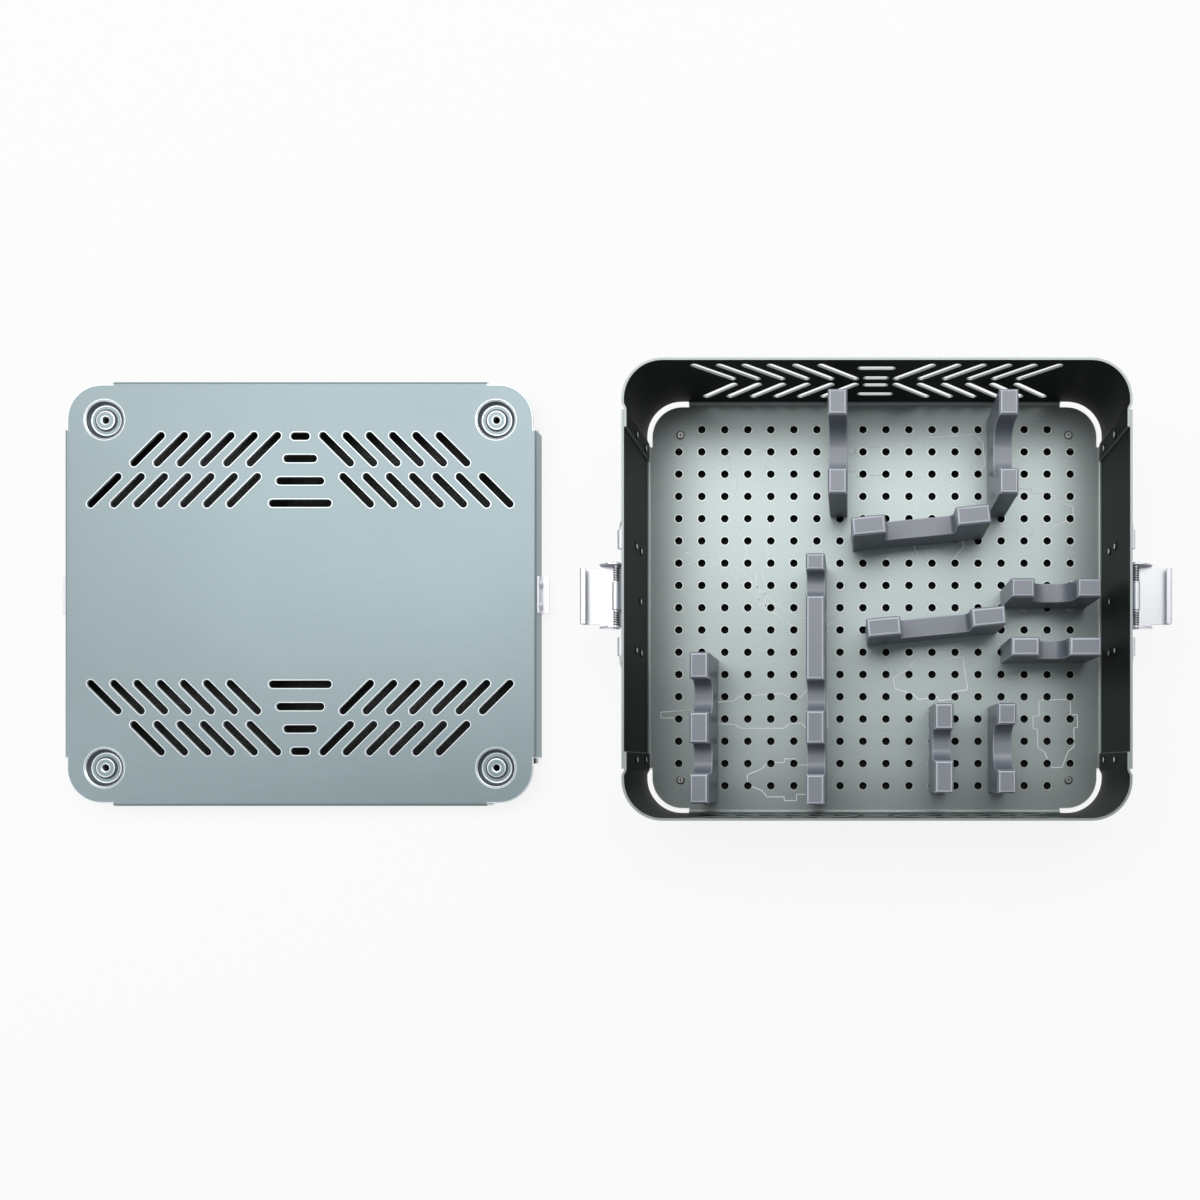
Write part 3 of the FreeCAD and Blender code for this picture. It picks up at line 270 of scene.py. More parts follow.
def silicone(name, colour, painted_top_light):
    """Grey silicone rubber with fine moulding texture and painted light: the faces that look up are paler."""
    material, tree, shader = new_material(name)
    cloud = noise(tree, object_coordinates(tree, (60, 60, 60)))
    skin = noise(tree, object_coordinates(tree, (1500, 1500, 1500)), detail=2)
    facing = add_node(tree, "ShaderNodeNewGeometry")
    apart = add_node(tree, "ShaderNodeSeparateXYZ")
    tree.links.new(facing.outputs["Normal"], apart.inputs["Vector"])
    # Painted light: the more a face looks up, the nearer it goes to the paler colour
    upward = calculate(tree, "POWER", calculate(tree, "MAXIMUM", apart.outputs["Z"], 0), 4)
    mottling = calculate(tree, "MULTIPLY", calculate(tree, "SUBTRACT", cloud, 0.5), 0.5)
    mottled = calculate(tree, "ADD", upward, mottling)
    tree.links.new(ramp(tree, mottled, (0, colour), (1, painted_top_light)), shader.inputs["Base Color"])
    tree.links.new(to_range(tree, cloud, 0.26, 0.40), shader.inputs["Roughness"])
    shader.inputs["Specular IOR Level"].default_value = 0.6
    shader.inputs["Subsurface Weight"].default_value = 0.12
    shader.inputs["Subsurface Radius"].default_value = (0.6, 0.6, 0.8)
    shader.inputs["Subsurface Scale"].default_value = 2 * MM
    bump(tree, shader, skin, 0.08, 0.05 * MM)
    return material


def matt_rubber(name, colour):
    material, tree, shader = new_material(name)
    skin = noise(tree, object_coordinates(tree, (900, 900, 900)))
    tree.links.new(ramp(tree, skin, (0.3, shade(colour, 0.8)), (0.7, colour)), shader.inputs["Base Color"])
    shader.inputs["Roughness"].default_value = 0.7
    bump(tree, shader, skin, 0.1, 0.05 * MM)
    return material


# The floor's colour takes painted shade and a painted reflection near the walls
floor_sheet = brushed_sheet("floor_sheet", (0.44, 0.505, 0.495), roughness=0.4, wall_shaded=True)
floor_edge = brushed_sheet("floor_edge", (0.74, 0.80, 0.79), roughness=0.3)
lid_sheet = brushed_sheet("lid_sheet", (0.305, 0.38, 0.40), contrast=0.07, roughness=0.38, metallic=0.5)
# Lid: the pale colour of its edges and rims is also a painted highlight on rings of its recesses
lid_edge_and_highlight = brushed_sheet("lid_edge_and_highlight", (0.88, 0.93, 0.95), roughness=0.35)
# Painted shade on the steep walls of the lid's recesses
lid_recess_shade = brushed_sheet("lid_recess_shade", (0.08, 0.10, 0.115), roughness=0.45, metallic=0.3)
outer_sheet = brushed_sheet("outer_sheet", (0.32, 0.395, 0.415), contrast=0.07, roughness=0.42)
inner_sheet = brushed_sheet("inner_sheet", (0.0135, 0.0145, 0.014), 0.5, 0, contrast=0.2, specular=0.12)
cut_edge = brushed_sheet("cut_edge", (0.40, 0.43, 0.43), roughness=0.4, metallic=0.5)
etching = brushed_sheet("etching", (0.93, 0.96, 0.96), roughness=0.6, metallic=0)
# Silicone: its own colour, then a paler colour of painted light for the faces that look up
holder_silicone = silicone("holder_silicone", (0.145, 0.165, 0.20), (0.265, 0.285, 0.325))
# The holders' rounded edges: a paler colour as a painted highlight
holder_edge_highlight = silicone("holder_edge_highlight", (0.38, 0.41, 0.465), (0.62, 0.65, 0.71))
steel = polished_steel("latch_steel", (0.78, 0.79, 0.82), roughness=0.42)
wire = polished_steel("wire_steel", (0.76, 0.77, 0.79), roughness=0.3)
spring_steel = polished_steel("spring_steel", (0.30, 0.30, 0.31), roughness=0.3)
rivet_metal = polished_steel("rivet_metal", (0.80, 0.81, 0.82), 0.3)
# Painted highlight in the middle of the inner rivet heads
rivet_highlight = brushed_sheet("rivet_highlight", (0.94, 0.96, 0.96), roughness=0.4, metallic=0.1)
shadowed_metal = polished_steel("shadowed_metal", (0.15, 0.16, 0.16), 0.4)
foot_rubber = matt_rubber("foot_rubber", (0.035, 0.035, 0.038))

BODY_OF = {node: body for body, nodes in frame["record"]["behaviour"]["bodies"].items() for node in nodes}
SLOT_OF = {entry["node"]: entry["material_slot"] for entry in frame["record"]["subparts"]}


# Geometry helpers

def link(thing):
    bpy.context.scene.collection.objects.link(thing)
    return thing


def finish_piece(made, name, materials, node, sharp=35, replaces=True):
    """Turns a bmesh into a piece that rides on a CAD node's body and by default replaces the node."""
    mesh = bpy.data.meshes.new(name)
    for face in made.faces:
        face.smooth = True
    made.to_mesh(mesh)
    made.free()
    mesh.set_sharp_from_angle(angle=math.radians(sharp))
    for material in materials:
        mesh.materials.append(material)
    piece = link(bpy.data.objects.new(name, mesh))
    return attach(piece, node, replaces)


def attach(piece, node, replaces=True):
    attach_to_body(piece, BODY_OF[node])
    if replaces:
        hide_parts(node)
    return piece


def weigh_normals(piece):
    """Keeps big flat faces flat where they meet small chamfers."""
    weights = piece.modifiers.new("normals", "WEIGHTED_NORMAL")
    weights.keep_sharp = True


def dressed_copy(node, materials, bevel, angle=28):
    """A finer stand-in for a CAD node: the same solids with rounded edges, which take the last material."""
    source = frame["nodes"][node]
    made = bmesh.new()
    made.from_mesh(source.data)
    bmesh.ops.remove_doubles(made, verts=made.verts, dist=0.001 * MM)
    bmesh.ops.dissolve_limit(made, angle_limit=math.radians(1), verts=made.verts, edges=made.edges)
    piece = finish_piece(made, f"{node}_finish", materials, node, sharp=angle)
    edges = piece.modifiers.new("edges", "BEVEL")
    edges.width = bevel
    edges.segments = 2
    edges.material = len(materials) - 1
    edges.limit_method = "ANGLE"
    edges.angle_limit = math.radians(angle)
    weigh_normals(piece)
    return piece


def arc_points(x, y, radius, start, end, steps):
    """Points along an arc, in degrees, both ends included."""
    angles = [math.radians(start + (end - start) * i / steps) for i in range(steps + 1)]
    return [(x + radius * math.cos(a), y + radius * math.sin(a)) for a in angles]


def ring_points(x, y, radius, steps=20):
    return arc_points(x, y, radius, 0, 360 * (steps - 1) / steps, steps - 1)


def slot_points(x0, y0, x1, y1, width, steps=8):
    """A slot with round ends between two end centres."""
    slope = math.degrees(math.atan2(y1 - y0, x1 - x0))
    far = arc_points(x1, y1, width / 2, slope - 90, slope + 90, steps)
    return far + arc_points(x0, y0, width / 2, slope + 90, slope + 270, steps)


def signed_area(points):
    return sum(a[0] * b[1] - b[0] * a[1] for a, b in zip(points, points[1:] + points[:1])) / 2


def inset(points, distance):
    """An outline moved to its left by a distance, with mitred corners."""
    moved = []
    for i, point in enumerate(points):
        here = Vector(point)
        before = (here - Vector(points[i - 1])).normalized()
        after = (Vector(points[(i + 1) % len(points)]) - here).normalized()
        left = Vector((-before.y - after.y, before.x + after.x))
        left *= distance / (left.length_squared / 2)
        moved.append(tuple(here + left))
    return moved


def encloses(points, x, y):
    """Whether an outline goes round a point."""
    crossings = 0
    for (ax, ay), (bx, by) in zip(points, points[1:] + points[:1]):
        if (ay > y) != (by > y) and x < ax + (bx - ax) * (y - ay) / (by - ay):
            crossings += 1
    return crossings % 2 == 1


def flat_sheet(made, outline, holes, thickness, chamfer, rim=0):
    """A sheet from z = 0 down to its thickness, with chamfered edges and a rubbed rim along each.

    Faces: 0 top, 1 underside, 2 edges and rims.
    """
    loops = []
    for points, way in [(outline, 1)] + [(hole, -1) for hole in holes]:
        loops.append(points if signed_area(points) * way > 0 else points[::-1])
    narrowed = [inset(points, chamfer) for points in loops]
    inner = [inset(points, rim) for points in narrowed] if rim else narrowed
    flat = []
    edges = []
    loop_of = []
    for number, points in enumerate(inner):
        first = len(flat)
        flat += [Vector(point) for point in points]
        loop_of += [number] * len(points)
        edges += [(first + i, first + (i + 1) % len(points)) for i in range(len(points))]
    spots, _, faces, origins, _, _ = delaunay_2d_cdt(flat, edges, [], 1, 0.0001 * MM)
    solid = []
    for face in faces:
        around = {loop_of[origins[i][0]] for i in face}
        middle = sum((spots[i] for i in face), Vector((0, 0))) / len(face)
        hole = around.pop() if len(around) == 1 else 0
        if hole == 0 or not encloses(inner[hole], middle.x, middle.y):
            solid.append(face)
    for depth, index in ((0, 0), (-thickness, 1)):
        verts = [made.verts.new((spot.x, spot.y, depth)) for spot in spots]
        for face in solid:
            corners = [verts[i] for i in face]
            made.faces.new(corners if index == 0 else corners[::-1]).material_index = index
    levels = [(narrowed, 0), (loops, -chamfer), (loops, chamfer - thickness), (narrowed, -thickness)]
    if rim:
        levels = [(inner, 0)] + levels + [(inner, -thickness)]
    for number in range(len(loops)):
        rings = [[made.verts.new((*point, depth)) for point in level[number]] for level, depth in levels]
        for upper, lower in zip(rings, rings[1:]):
            for i in range(len(upper)):
                j = (i + 1) % len(upper)
                made.faces.new((upper[i], lower[i], lower[j], upper[j])).material_index = 2
    bmesh.ops.remove_doubles(made, verts=made.verts, dist=0.001 * MM)


def join(made, part):
    """Adds one bmesh's faces to another and frees the first."""
    mesh = bpy.data.meshes.new("part")
    part.to_mesh(mesh)
    part.free()
    made.from_mesh(mesh)
    bpy.data.meshes.remove(mesh)


def slice_sheet(made, axis, places):
    """Cuts a sheet across, so that it can bend there."""
    normal = [0, 0, 0]
    normal[axis] = 1
    for place in places:
        middle = [0, 0, 0]
        middle[axis] = place
        everything = list(made.verts) + list(made.edges) + list(made.faces)
        bmesh.ops.bisect_plane(made, geom=everything, dist=0.0001 * MM, plane_co=middle, plane_no=normal)


def reshape(made, place):
    """Moves every vertex to where place(x, y, depth) says, with depth counted into the sheet."""
    for vert in made.verts:
        vert.co = place(vert.co.x, vert.co.y, -vert.co.z)


def between(start, end, steps):
    return [start + (end - start) * i / steps for i in range(steps + 1)]


def revolve(made, profile, centre, axis="Z", steps=24, index=0):
    """A closed ring or a capped turned form: its profile is (radius, height) pairs, radius 0 at a cap."""
    rings = []
    for radius, height in profile:
        if radius == 0:
            rings.append([made.verts.new(turned(0, 0, height, centre, axis))])
            continue
        spots = ring_points(0, 0, radius, steps)
        rings.append([made.verts.new(turned(a, b, height, centre, axis)) for a, b in spots])
    pairs = list(zip(rings, rings[1:]))
    if profile[0][0] and profile[-1][0]:
        pairs.append((rings[-1], rings[0]))
    for one, other in pairs:
        for i in range(steps):
            j = (i + 1) % steps
            corners = [one[i % len(one)], one[j % len(one)], other[j % len(other)], other[i % len(other)]]
            corners = list(dict.fromkeys(corners))
            made.faces.new(corners).material_index = index


def turned(a, b, height, centre, axis):
    """A point of a turned form about an axis along Z or X."""
    spot = (a, b, height) if axis == "Z" else (height, a, b)
    return Vector(centre) + Vector(spot)


def islands(node):
    """The lowest and highest corner of each separate solid of a CAD node."""
    made = bmesh.new()
    made.from_mesh(frame["nodes"][node].data)
    bmesh.ops.remove_doubles(made, verts=made.verts, dist=0.001 * MM)
    left = set(made.verts)
    boxes = []
    while left:
        group = []
        queue = [left.pop()]
        while queue:
            vert = queue.pop()
            group.append(vert.co.copy())
            for edge in vert.link_edges:
                other = edge.other_vert(vert)
                if other in left:
                    left.remove(other)
                    queue.append(other)
        low = Vector([min(co[i] for co in group) for i in range(3)])
        high = Vector([max(co[i] for co in group) for i in range(3)])
        boxes.append((low, high))
    made.free()
    return sorted(boxes, key=lambda pair: tuple(round(value, 5) for value in pair[0]))


# The base

def make_floor():
    """The floor with its round holes, stepped at the corners where the corner reliefs stay open."""
    edge_x, edge_y = HALF_X - FOLD_OUTER, HALF_Y - FOLD_OUTER
    corner_x, corner_y = HALF_X - RELIEF, HALF_Y - RELIEF
    radius = CORNER_RADIUS - RELIEF
    outline = []
    for number, (sx, sy) in enumerate(SIDES):
        start = 90 * number
        centre = ((corner_x - radius) * sx, (corner_y - radius) * sy)
        rounding = arc_points(*centre, radius, start, start + 90, 12)
        steps = [(edge_x * sx, PANEL_END * sy), (corner_x * sx, PANEL_END * sy)]
        fold = [(FOLD_END * sx, corner_y * sy), (FOLD_END * sx, edge_y * sy)]
        outline += steps + rounding + fold if sx * sy > 0 else fold[::-1] + rounding + steps[::-1]
    holes = [ring_points(x, y, HOLE_RADIUS) for x, y in floor_holes()]
    made = bmesh.new()
    flat_sheet(made, outline, holes, SHEET, PUNCHED_CHAMFER, rim=0.3 * MM)
    reshape(made, lambda x, y, depth: (x, y, FLOOR_TOP - depth))
    materials = [floor_sheet, floor_sheet, floor_edge]
    weigh_normals(finish_piece(made, "perforated_floor", materials, "floor_plate"))


def floor_holes():
    """Middles of the floor holes: a grid without its four corners."""
    holes = []
    for row in range(HOLE_COUNT[1]):
        short = 1 if row in (0, HOLE_COUNT[1] - 1) else 0
        for column in range(short, HOLE_COUNT[0] - short):
            x = HOLE_PITCH[0] * (column - (HOLE_COUNT[0] - 1) / 2)
            y = HOLE_PITCH[1] * (row - (HOLE_COUNT[1] - 1) / 2)
            holes.append((x, y))
    return holes


# The middle of the sheet in a fold, the length of that arc, and the cuts across a wall where it bends
FOLD_MIDDLE = FOLD_INNER + SHEET / 2
FOLD_LENGTH = FOLD_MIDDLE * math.pi / 2
FOLD_TOP = FLOOR_LOW + FOLD_OUTER
FOLD_CUTS = [FOLD_TOP - FOLD_LENGTH * i / 6 for i in range(7)]

# Finishes of a wall that is folded up: outside, inside, edges and the inside of the fold
FOLDED = [outer_sheet, inner_sheet, cut_edge, floor_sheet]


def folded(face, height, depth):
    """Section of sheet that stands up from the floor: how far out and how high a point lies."""
    if height >= FOLD_TOP:
        return face - depth, height
    angle = (FOLD_TOP - height) / FOLD_MIDDLE
    radius = FOLD_OUTER - depth
    return face - FOLD_OUTER + radius * math.cos(angle), FOLD_TOP - radius * math.sin(angle)


def paint_sides(made):
    """Gives the fold's inside the floor's colour in place of the walls' near-black one."""
    for face in made.faces:
        if face.material_index == 1 and face.calc_center_median().z < FOLD_TOP:
            face.material_index = 3


def make_side_panel(side, sign):
    made = bmesh.new()
    low = FOLD_TOP - FOLD_LENGTH
    outline = [(-PANEL_END, low), (PANEL_END, low), (PANEL_END, RIM), (-PANEL_END, RIM)]
    flat_sheet(made, outline, [], SHEET, WALL_CHAMFER)
    slice_sheet(made, 1, FOLD_CUTS)

    def place(along, height, depth):
        out, up = folded(HALF_X, height, depth)
        return out * sign, along * sign, up

    reshape(made, place)
    paint_sides(made)
    weigh_normals(finish_piece(made, f"folded_panel_{side}", FOLDED, f"side_panel_{side}"))


def wall_slots():
    """Slots of an end wall: level bars in the middle and six arrows on each side."""
    slots = []
    for up, length in WALL_BARS:
        reach = (length - WALL_SLOT_WIDTH) / 2
        slots += [(-reach, ARROW_MIDDLE + up * way, reach, ARROW_MIDDLE + up * way) for way in (1, -1)]
    for number in range(ARROW_COUNT):
        tip = ARROW_START + ARROW_PITCH * number
        for sx, sy in SIDES:
            low = ARROW_MIDDLE + ARROW_GAP / 2 * sy
            slots.append((tip * sx, low, (tip + ARROW_RISE) * sx, low + ARROW_RISE * sy))
    return [slot_points(*ends, WALL_SLOT_WIDTH) for ends in slots]


def make_wall(side, sign):
    """A slotted end wall that goes round both corners and steps inside the side panels."""
    straight = HALF_X - CORNER_RADIUS
    middle_radius = CORNER_RADIUS - SHEET / 2
    turn = middle_radius * math.pi / 2
    corner_y = HALF_Y - CORNER_RADIUS
    reach = straight + turn + corner_y - LAP_END
    low = FOLD_TOP - FOLD_LENGTH
    outline = [(-reach, FOLD_TOP), (-FOLD_END, FOLD_TOP), (-FOLD_END, low), (FOLD_END, low)]
    outline += [(FOLD_END, FOLD_TOP), (reach, FOLD_TOP), (reach, RIM), (-reach, RIM)]
    made = bmesh.new()
    flat_sheet(made, outline, wall_slots(), SHEET, WALL_CHAMFER)
    joggle = straight + turn + JOGGLE_START
    cuts = between(straight, straight + turn, 14) + between(joggle, joggle + JOGGLE_RUN, 6)
    slice_sheet(made, 0, cuts + [-cut for cut in cuts])
    slice_sheet(made, 1, FOLD_CUTS)

    def place(along, height, depth):
        out, up = folded(HALF_Y, height, depth)
        past = abs(along) - straight
        way = 1 if along > 0 else -1
        if past <= 0:
            return along * sign, out * sign, up
        if past <= turn:
            angle = past / middle_radius
            radius = CORNER_RADIUS - depth
            x, y = straight + radius * math.sin(angle), corner_y + radius * math.cos(angle)
        else:
            share = min(max((past - turn - JOGGLE_START) / JOGGLE_RUN, 0), 1)
            step = SHEET * share * share * (3 - 2 * share)
            x, y = HALF_X - depth - step, corner_y - (past - turn)
        return x * way * sign, y * sign, height

    reshape(made, place)
    paint_sides(made)
    weigh_normals(finish_piece(made, f"folded_{side}_wall", FOLDED, f"{side}_wall"))


# Etched outlines of instruments on the floor, as (x, y) in millimetres from each shape's own middle
ETCH_WIDTH = 0.62 * MM
ETCH_LIFT = 0.02 * MM
ETCH_CLEAR = HOLE_RADIUS + 0.5 * MM


def etch(made, points, closed=True):
    """A thin line along points on the floor, left out where it would cross a hole."""
    ends = points[1:] + points[:1] if closed else points[1:]
    holes = floor_holes()
    for a, b in zip(points, ends):
        start, end = Vector(a), Vector(b)
        pieces = max(1, int((end - start).length / (0.8 * MM)))
        side = (end - start).normalized().orthogonal() * ETCH_WIDTH / 2
        for i in range(pieces):
            one, other = start.lerp(end, i / pieces), start.lerp(end, (i + 1) / pieces)
            middle = (one + other) / 2
            if any((middle - Vector(hole)).length < ETCH_CLEAR for hole in holes):
                continue
            corners = [one - side, other - side, other + side, one + side]
            made.faces.new([made.verts.new((*corner, FLOOR_TOP + ETCH_LIFT)) for corner in corners])


def moved(points, x, y, turn=0, scale=1):
    """Points in millimetres, turned by degrees, scaled and shifted, in metres."""
    spin = Matrix.Rotation(math.radians(turn), 2)
    return [tuple((spin @ Vector(point) * scale + Vector((x, y))) * MM) for point in points]


def handpiece():
    """Outline of a pistol-grip handpiece: a stepped barrel, and a grip that leans back."""
    barrel = [(-62, 5), (-40, 7), (-40, 11), (10, 11), (14, 15), (52, 15), (58, 9), (58, -9), (52, -15)]
    grip = [(30, -15), (38, -70), (30, -78), (6, -78), (0, -70), (6, -15)]
    return barrel + grip + [(-14, -15), (-18, -11), (-40, -11), (-40, -7), (-62, -5)]


def driver():
    """Outline of a straight driver with a waist and a slim tip."""
    half = [(-58, 2), (-30, 3), (-28, 7), (-8, 8), (-4, 11), (26, 12), (30, 9), (38, 9), (42, 13), (56, 13)]
    return half + [(x, -y) for x, y in reversed(half)]


def chuck():
    """Outline of a short chuck: a collar on a tapered body."""
    half = [(-26, 4), (-14, 9), (-10, 14), (4, 14), (4, 17), (14, 17), (14, 12), (26, 12)]
    return half + [(x, -y) for x, y in reversed(half)]


def make_etching():
    made = bmesh.new()
    for shape, x, y, turn, scale in (
        (handpiece(), 22, 97, 4, 0.85),
        (driver(), -84, -68, 2, 0.95),
        (driver(), -78, 52, 96, 0.9),
        (chuck(), 118, -82, 92, 0.85),
        (chuck(), 106, 62, 180, 0.9),
        (chuck(), -62, -112, 0, 0.8),
        (chuck(), 36, -46, 8, 0.9),
    ):
        etch(made, moved(shape, x, y, turn, scale))
    hose = [(-150 * MM + 1.35 * MM * i, (8 + 22 * math.sin(i / 17)) * MM) for i in range(20, 100)]
    for shift in (0, 7 * MM):
        etch(made, [(x, y + shift) for x, y in hose], closed=False)
    finish_piece(made, "etched_outlines", [etching], "floor_plate", replaces=False)


# Fasteners

def dome(radius, height, steps=5):
    """Half section of a domed head from its rim to its top, as (radius, height)."""
    angles = [math.pi / 2 * i / steps for i in range(steps + 1)]
    return [(radius * math.cos(a), height * math.sin(a)) for a in angles[:-1]] + [(0, height)]


def make_rivets(node, home):
    """Domed rivets along X, where the CAD node's own solids are.

    The heads on the inner side, the one that faces x = home, carry a ring of painted shade
    round a painted highlight.
    """
    made = bmesh.new()
    for low, high in islands(node):
        middle = (low + high) / 2
        before = set(made.faces)
        half = (high.x - low.x) / 2
        radius = (high.z - low.z) / 2
        neck = half - RIVET_HEAD
        cap = [(r, neck + z) for r, z in dome(radius, RIVET_HEAD)]
        profile = [(r, -z) for r, z in reversed(cap)] + [(RIVET_SHANK, -neck), (RIVET_SHANK, neck)] + cap
        revolve(made, profile, middle, axis="X", steps=18)
        for face in set(made.faces) - before:
            spot = face.calc_center_median()
            off_axis = math.hypot(spot.y - middle.y, spot.z - middle.z)
            # Inner heads: painted shade round a painted highlight
            if abs(spot.x - home) < abs(middle.x - home):
                face.material_index = 1 if off_axis > RIVET_HIGHLIGHT else 2
    bmesh.ops.recalc_face_normals(made, faces=made.faces)
    finish_piece(made, f"{node}_domed", [rivet_metal, inner_sheet, rivet_highlight], node)


def cross_points(reach, half):
    """A cross-shaped recess."""
    corner = [(reach, -half), (reach, half), (half, half)]
    points = []
    for turn in (0, 90, 180, 270):
        spin = Matrix.Rotation(math.radians(turn), 2)
        points += [tuple(spin @ Vector(point)) for point in corner]
    return points


def make_foot_screws():
    """Pan-head screws with a cross recess in the floor's corners; each shank ends blind in its foot."""
    made = bmesh.new()
    for low, high in islands("foot_screws"):
        x, y = (low.x + high.x) / 2, (low.y + high.y) / 2
        radius = (high.y - low.y) / 2
        shank = bmesh.new()
        top = high.z - CROSS_DEPTH
        profile = [(0, low.z), (RIVET_SHANK, low.z), (RIVET_SHANK, FLOOR_TOP), (radius, FLOOR_TOP)]
        profile += [(radius, FLOOR_TOP + 0.35 * MM), (SCREW_HEAD + 0.2 * MM, FLOOR_TOP + 0.5 * MM)]
        profile += [(SCREW_HEAD, FLOOR_TOP + 0.3 * MM), (SCREW_HEAD, top), (0, top)]
        revolve(shank, profile, (x, y, 0), steps=24)
        head = bmesh.new()
        cross = cross_points(CROSS_REACH, CROSS_HALF_WIDTH)
        flat_sheet(head, ring_points(0, 0, SCREW_HEAD, 24), [cross], CROSS_DEPTH, 0.12 * MM)
        reshape(head, lambda a, b, depth: (x + a, y + b, high.z - depth))
        for part in (shank, head):
            bmesh.ops.recalc_face_normals(part, faces=part.faces)
            join(made, part)
    # Painted shade: the shank and the low rim of each head take the dark metal
    for face in made.faces:
        face.material_index = 1 if face.calc_center_median().z < FLOOR_TOP + 0.55 * MM else 0
    finish_piece(made, "cross_head_screws", [rivet_metal, shadowed_metal], "foot_screws")


# Latches and handles

def wire_piece(lines, radius, name, node, material):
    """Round wire along one or more lines of points, as one mesh."""
    curve = bpy.data.curves.new(name, "CURVE")
    curve.dimensions = "3D"
    curve.bevel_depth = radius
    curve.bevel_resolution = 3
    curve.use_fill_caps = True
    for line in lines:
        spline = curve.splines.new("POLY")
        spline.points.add(len(line) - 1)
        for spot, place in zip(spline.points, line):
            spot.co = (*place, 1)
    thing = bpy.data.objects.new(name, curve)
    mesh = bpy.data.meshes.new_from_object(thing)
    bpy.data.objects.remove(thing)
    for polygon in mesh.polygons:
        polygon.use_smooth = True
    mesh.set_sharp_from_angle(angle=math.radians(50))
    mesh.materials.clear()
    mesh.materials.append(material)
    return attach(link(bpy.data.objects.new(name, mesh)), node)


def make_bail(side):
    """The bail handle: one bent wire whose ends turn in the clips."""
    node = f"bail_handle_{side}"
    low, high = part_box(node)
    x = (low.x + high.x) / 2
    wide, top, grip = high.y - WIRE_RADIUS, high.z - WIRE_RADIUS, low.z + WIRE_RADIUS
    across = wide - BAIL_BEND
    half = [(BAIL_END, top)]
    half += arc_points(across, top - BAIL_BEND, BAIL_BEND, 90, 0, 8)
    half += arc_points(across, grip + BAIL_BEND, BAIL_BEND, 0, -90, 8)
    line = half + [(-y, z) for y, z in reversed(half)]
    wire_piece([[(x, y, z) for y, z in line]], WIRE_RADIUS, f"bail_wire_{side}", node, wire)


def make_springs(side):
    """Torsion springs: coils round the latch pin on both sides of the knuckle."""
    node = f"latch_springs_{side}"
    coils = []
    for low, high in islands(node):
        middle = (low + high) / 2
        radius = (high.z - low.z) / 2 - SPRING_WIRE
        run = high.y - low.y - SPRING_WIRE * 2
        count = SPRING_TURNS * 16
        coil = []
        for i in range(count + 1):
            angle = math.tau * SPRING_TURNS * i / count
            y = middle.y + run * (i / count - 0.5)
            coil.append((middle.x + radius * math.cos(angle), y, middle.z + radius * math.sin(angle)))
        coils.append(coil)
    wire_piece(coils, SPRING_WIRE, f"wound_springs_{side}", node, spring_steel)


# The lid

def make_lid():
    """The lid: slotted top, four turned recesses and four flanges folded down."""
    edge_x, edge_y = LID_HALF_X - LID_FOLD_OUTER, LID_HALF_Y - LID_FOLD_OUTER
    middle_radius = LID_FOLD_INNER + SHEET / 2
    fold = middle_radius * math.pi / 2
    fold_low = LID_TOP - LID_FOLD_OUTER
    drop = fold + fold_low - LID_LOW.z
    half_end, half_side = LID_FLANGES[0] / 2, LID_FLANGES[1] / 2
    outline = []
    for number, (sx, sy) in enumerate(SIDES):
        start = 90 * number
        centre = ((edge_x - LID_CORNER_RADIUS) * sx, (edge_y - LID_CORNER_RADIUS) * sy)
        rounding = arc_points(*centre, LID_CORNER_RADIUS, start, start + 90, 14)
        side = [((edge_x + drop) * sx, half_side * sy), (edge_x * sx, half_side * sy)]
        end = [(half_end * sx, edge_y * sy), (half_end * sx, (edge_y + drop) * sy)]
        outline += side + rounding + end if sx * sy > 0 else end[::-1] + rounding + side[::-1]
    spots = [(RECESS_SPACING[0] / 2 * sx, RECESS_SPACING[1] / 2 * sy) for sx, sy in SIDES]
    holes = [slot_points(*ends, LID_SLOT_WIDTH) for ends in lid_slots()]
    holes += [ring_points(x, y, RECESS_RADIUS, 48) for x, y in spots]
    made = bmesh.new()
    flat_sheet(made, outline, holes, SHEET, PUNCHED_CHAMFER, rim=0.45 * MM)
    for axis, edge in ((0, edge_x), (1, edge_y)):
        cuts = between(edge, edge + fold, 6)
        slice_sheet(made, axis, cuts + [-cut for cut in cuts])

    def bent(distance, edge, depth):
        """How far out and how high a point lies that is past the fold's start."""
        past = abs(distance) - edge
        way = 1 if distance > 0 else -1
        if past <= 0:
            return distance, LID_TOP - depth
        radius = LID_FOLD_OUTER - depth
        if past <= fold:
            angle = past / middle_radius
            return (edge + radius * math.sin(angle)) * way, fold_low + radius * math.cos(angle)
        return (edge + radius) * way, fold_low - (past - fold)

    def place(x, y, depth):
        x, z = bent(x, edge_x, depth)
        y, other_z = bent(y, edge_y, depth)
        return x + LID_MIDDLE.x, y + LID_MIDDLE.y, min(z, other_z)

    reshape(made, place)
    for x, y in spots:
        make_recess(made, (x + LID_MIDDLE.x, y + LID_MIDDLE.y, LID_TOP))
    weigh_normals(finish_piece(made, "vented_lid", [lid_sheet, lid_sheet, lid_edge_and_highlight, lid_recess_shade], "lid"))


# Turned profile of a recess from its drain hole outwards: (radius, height) in millimetres from the lid's top
RECESS_TOP = ((2.2, -1.3), (2.5, -1.1), (3.1, -1.0), (5.4, -1.0), (6.1, -1.1), (6.5, -1.9), (7.4, -2.0),
              (9.1, -2.0), (9.8, -1.95), (10.7, -1.7), (11.9, -0.4), (12.2, -0.1), (12.6, 0))
RECESS_UNDER = ((12.6, -1.5), (12.2, -1.7), (10.4, -3.4), (10.1, -3.5), (2.45, -3.5), (2.2, -3.35))

# Outer radius of each band of that profile, with its material: 0 plain, 2 painted highlight, 3 painted shade
RECESS_BANDS = ((3.1, 2), (5.4, 0), (6.1, 2), (7.4, 3), (9.1, 0), (9.8, 2), (11.9, 3), (12.6, 2))


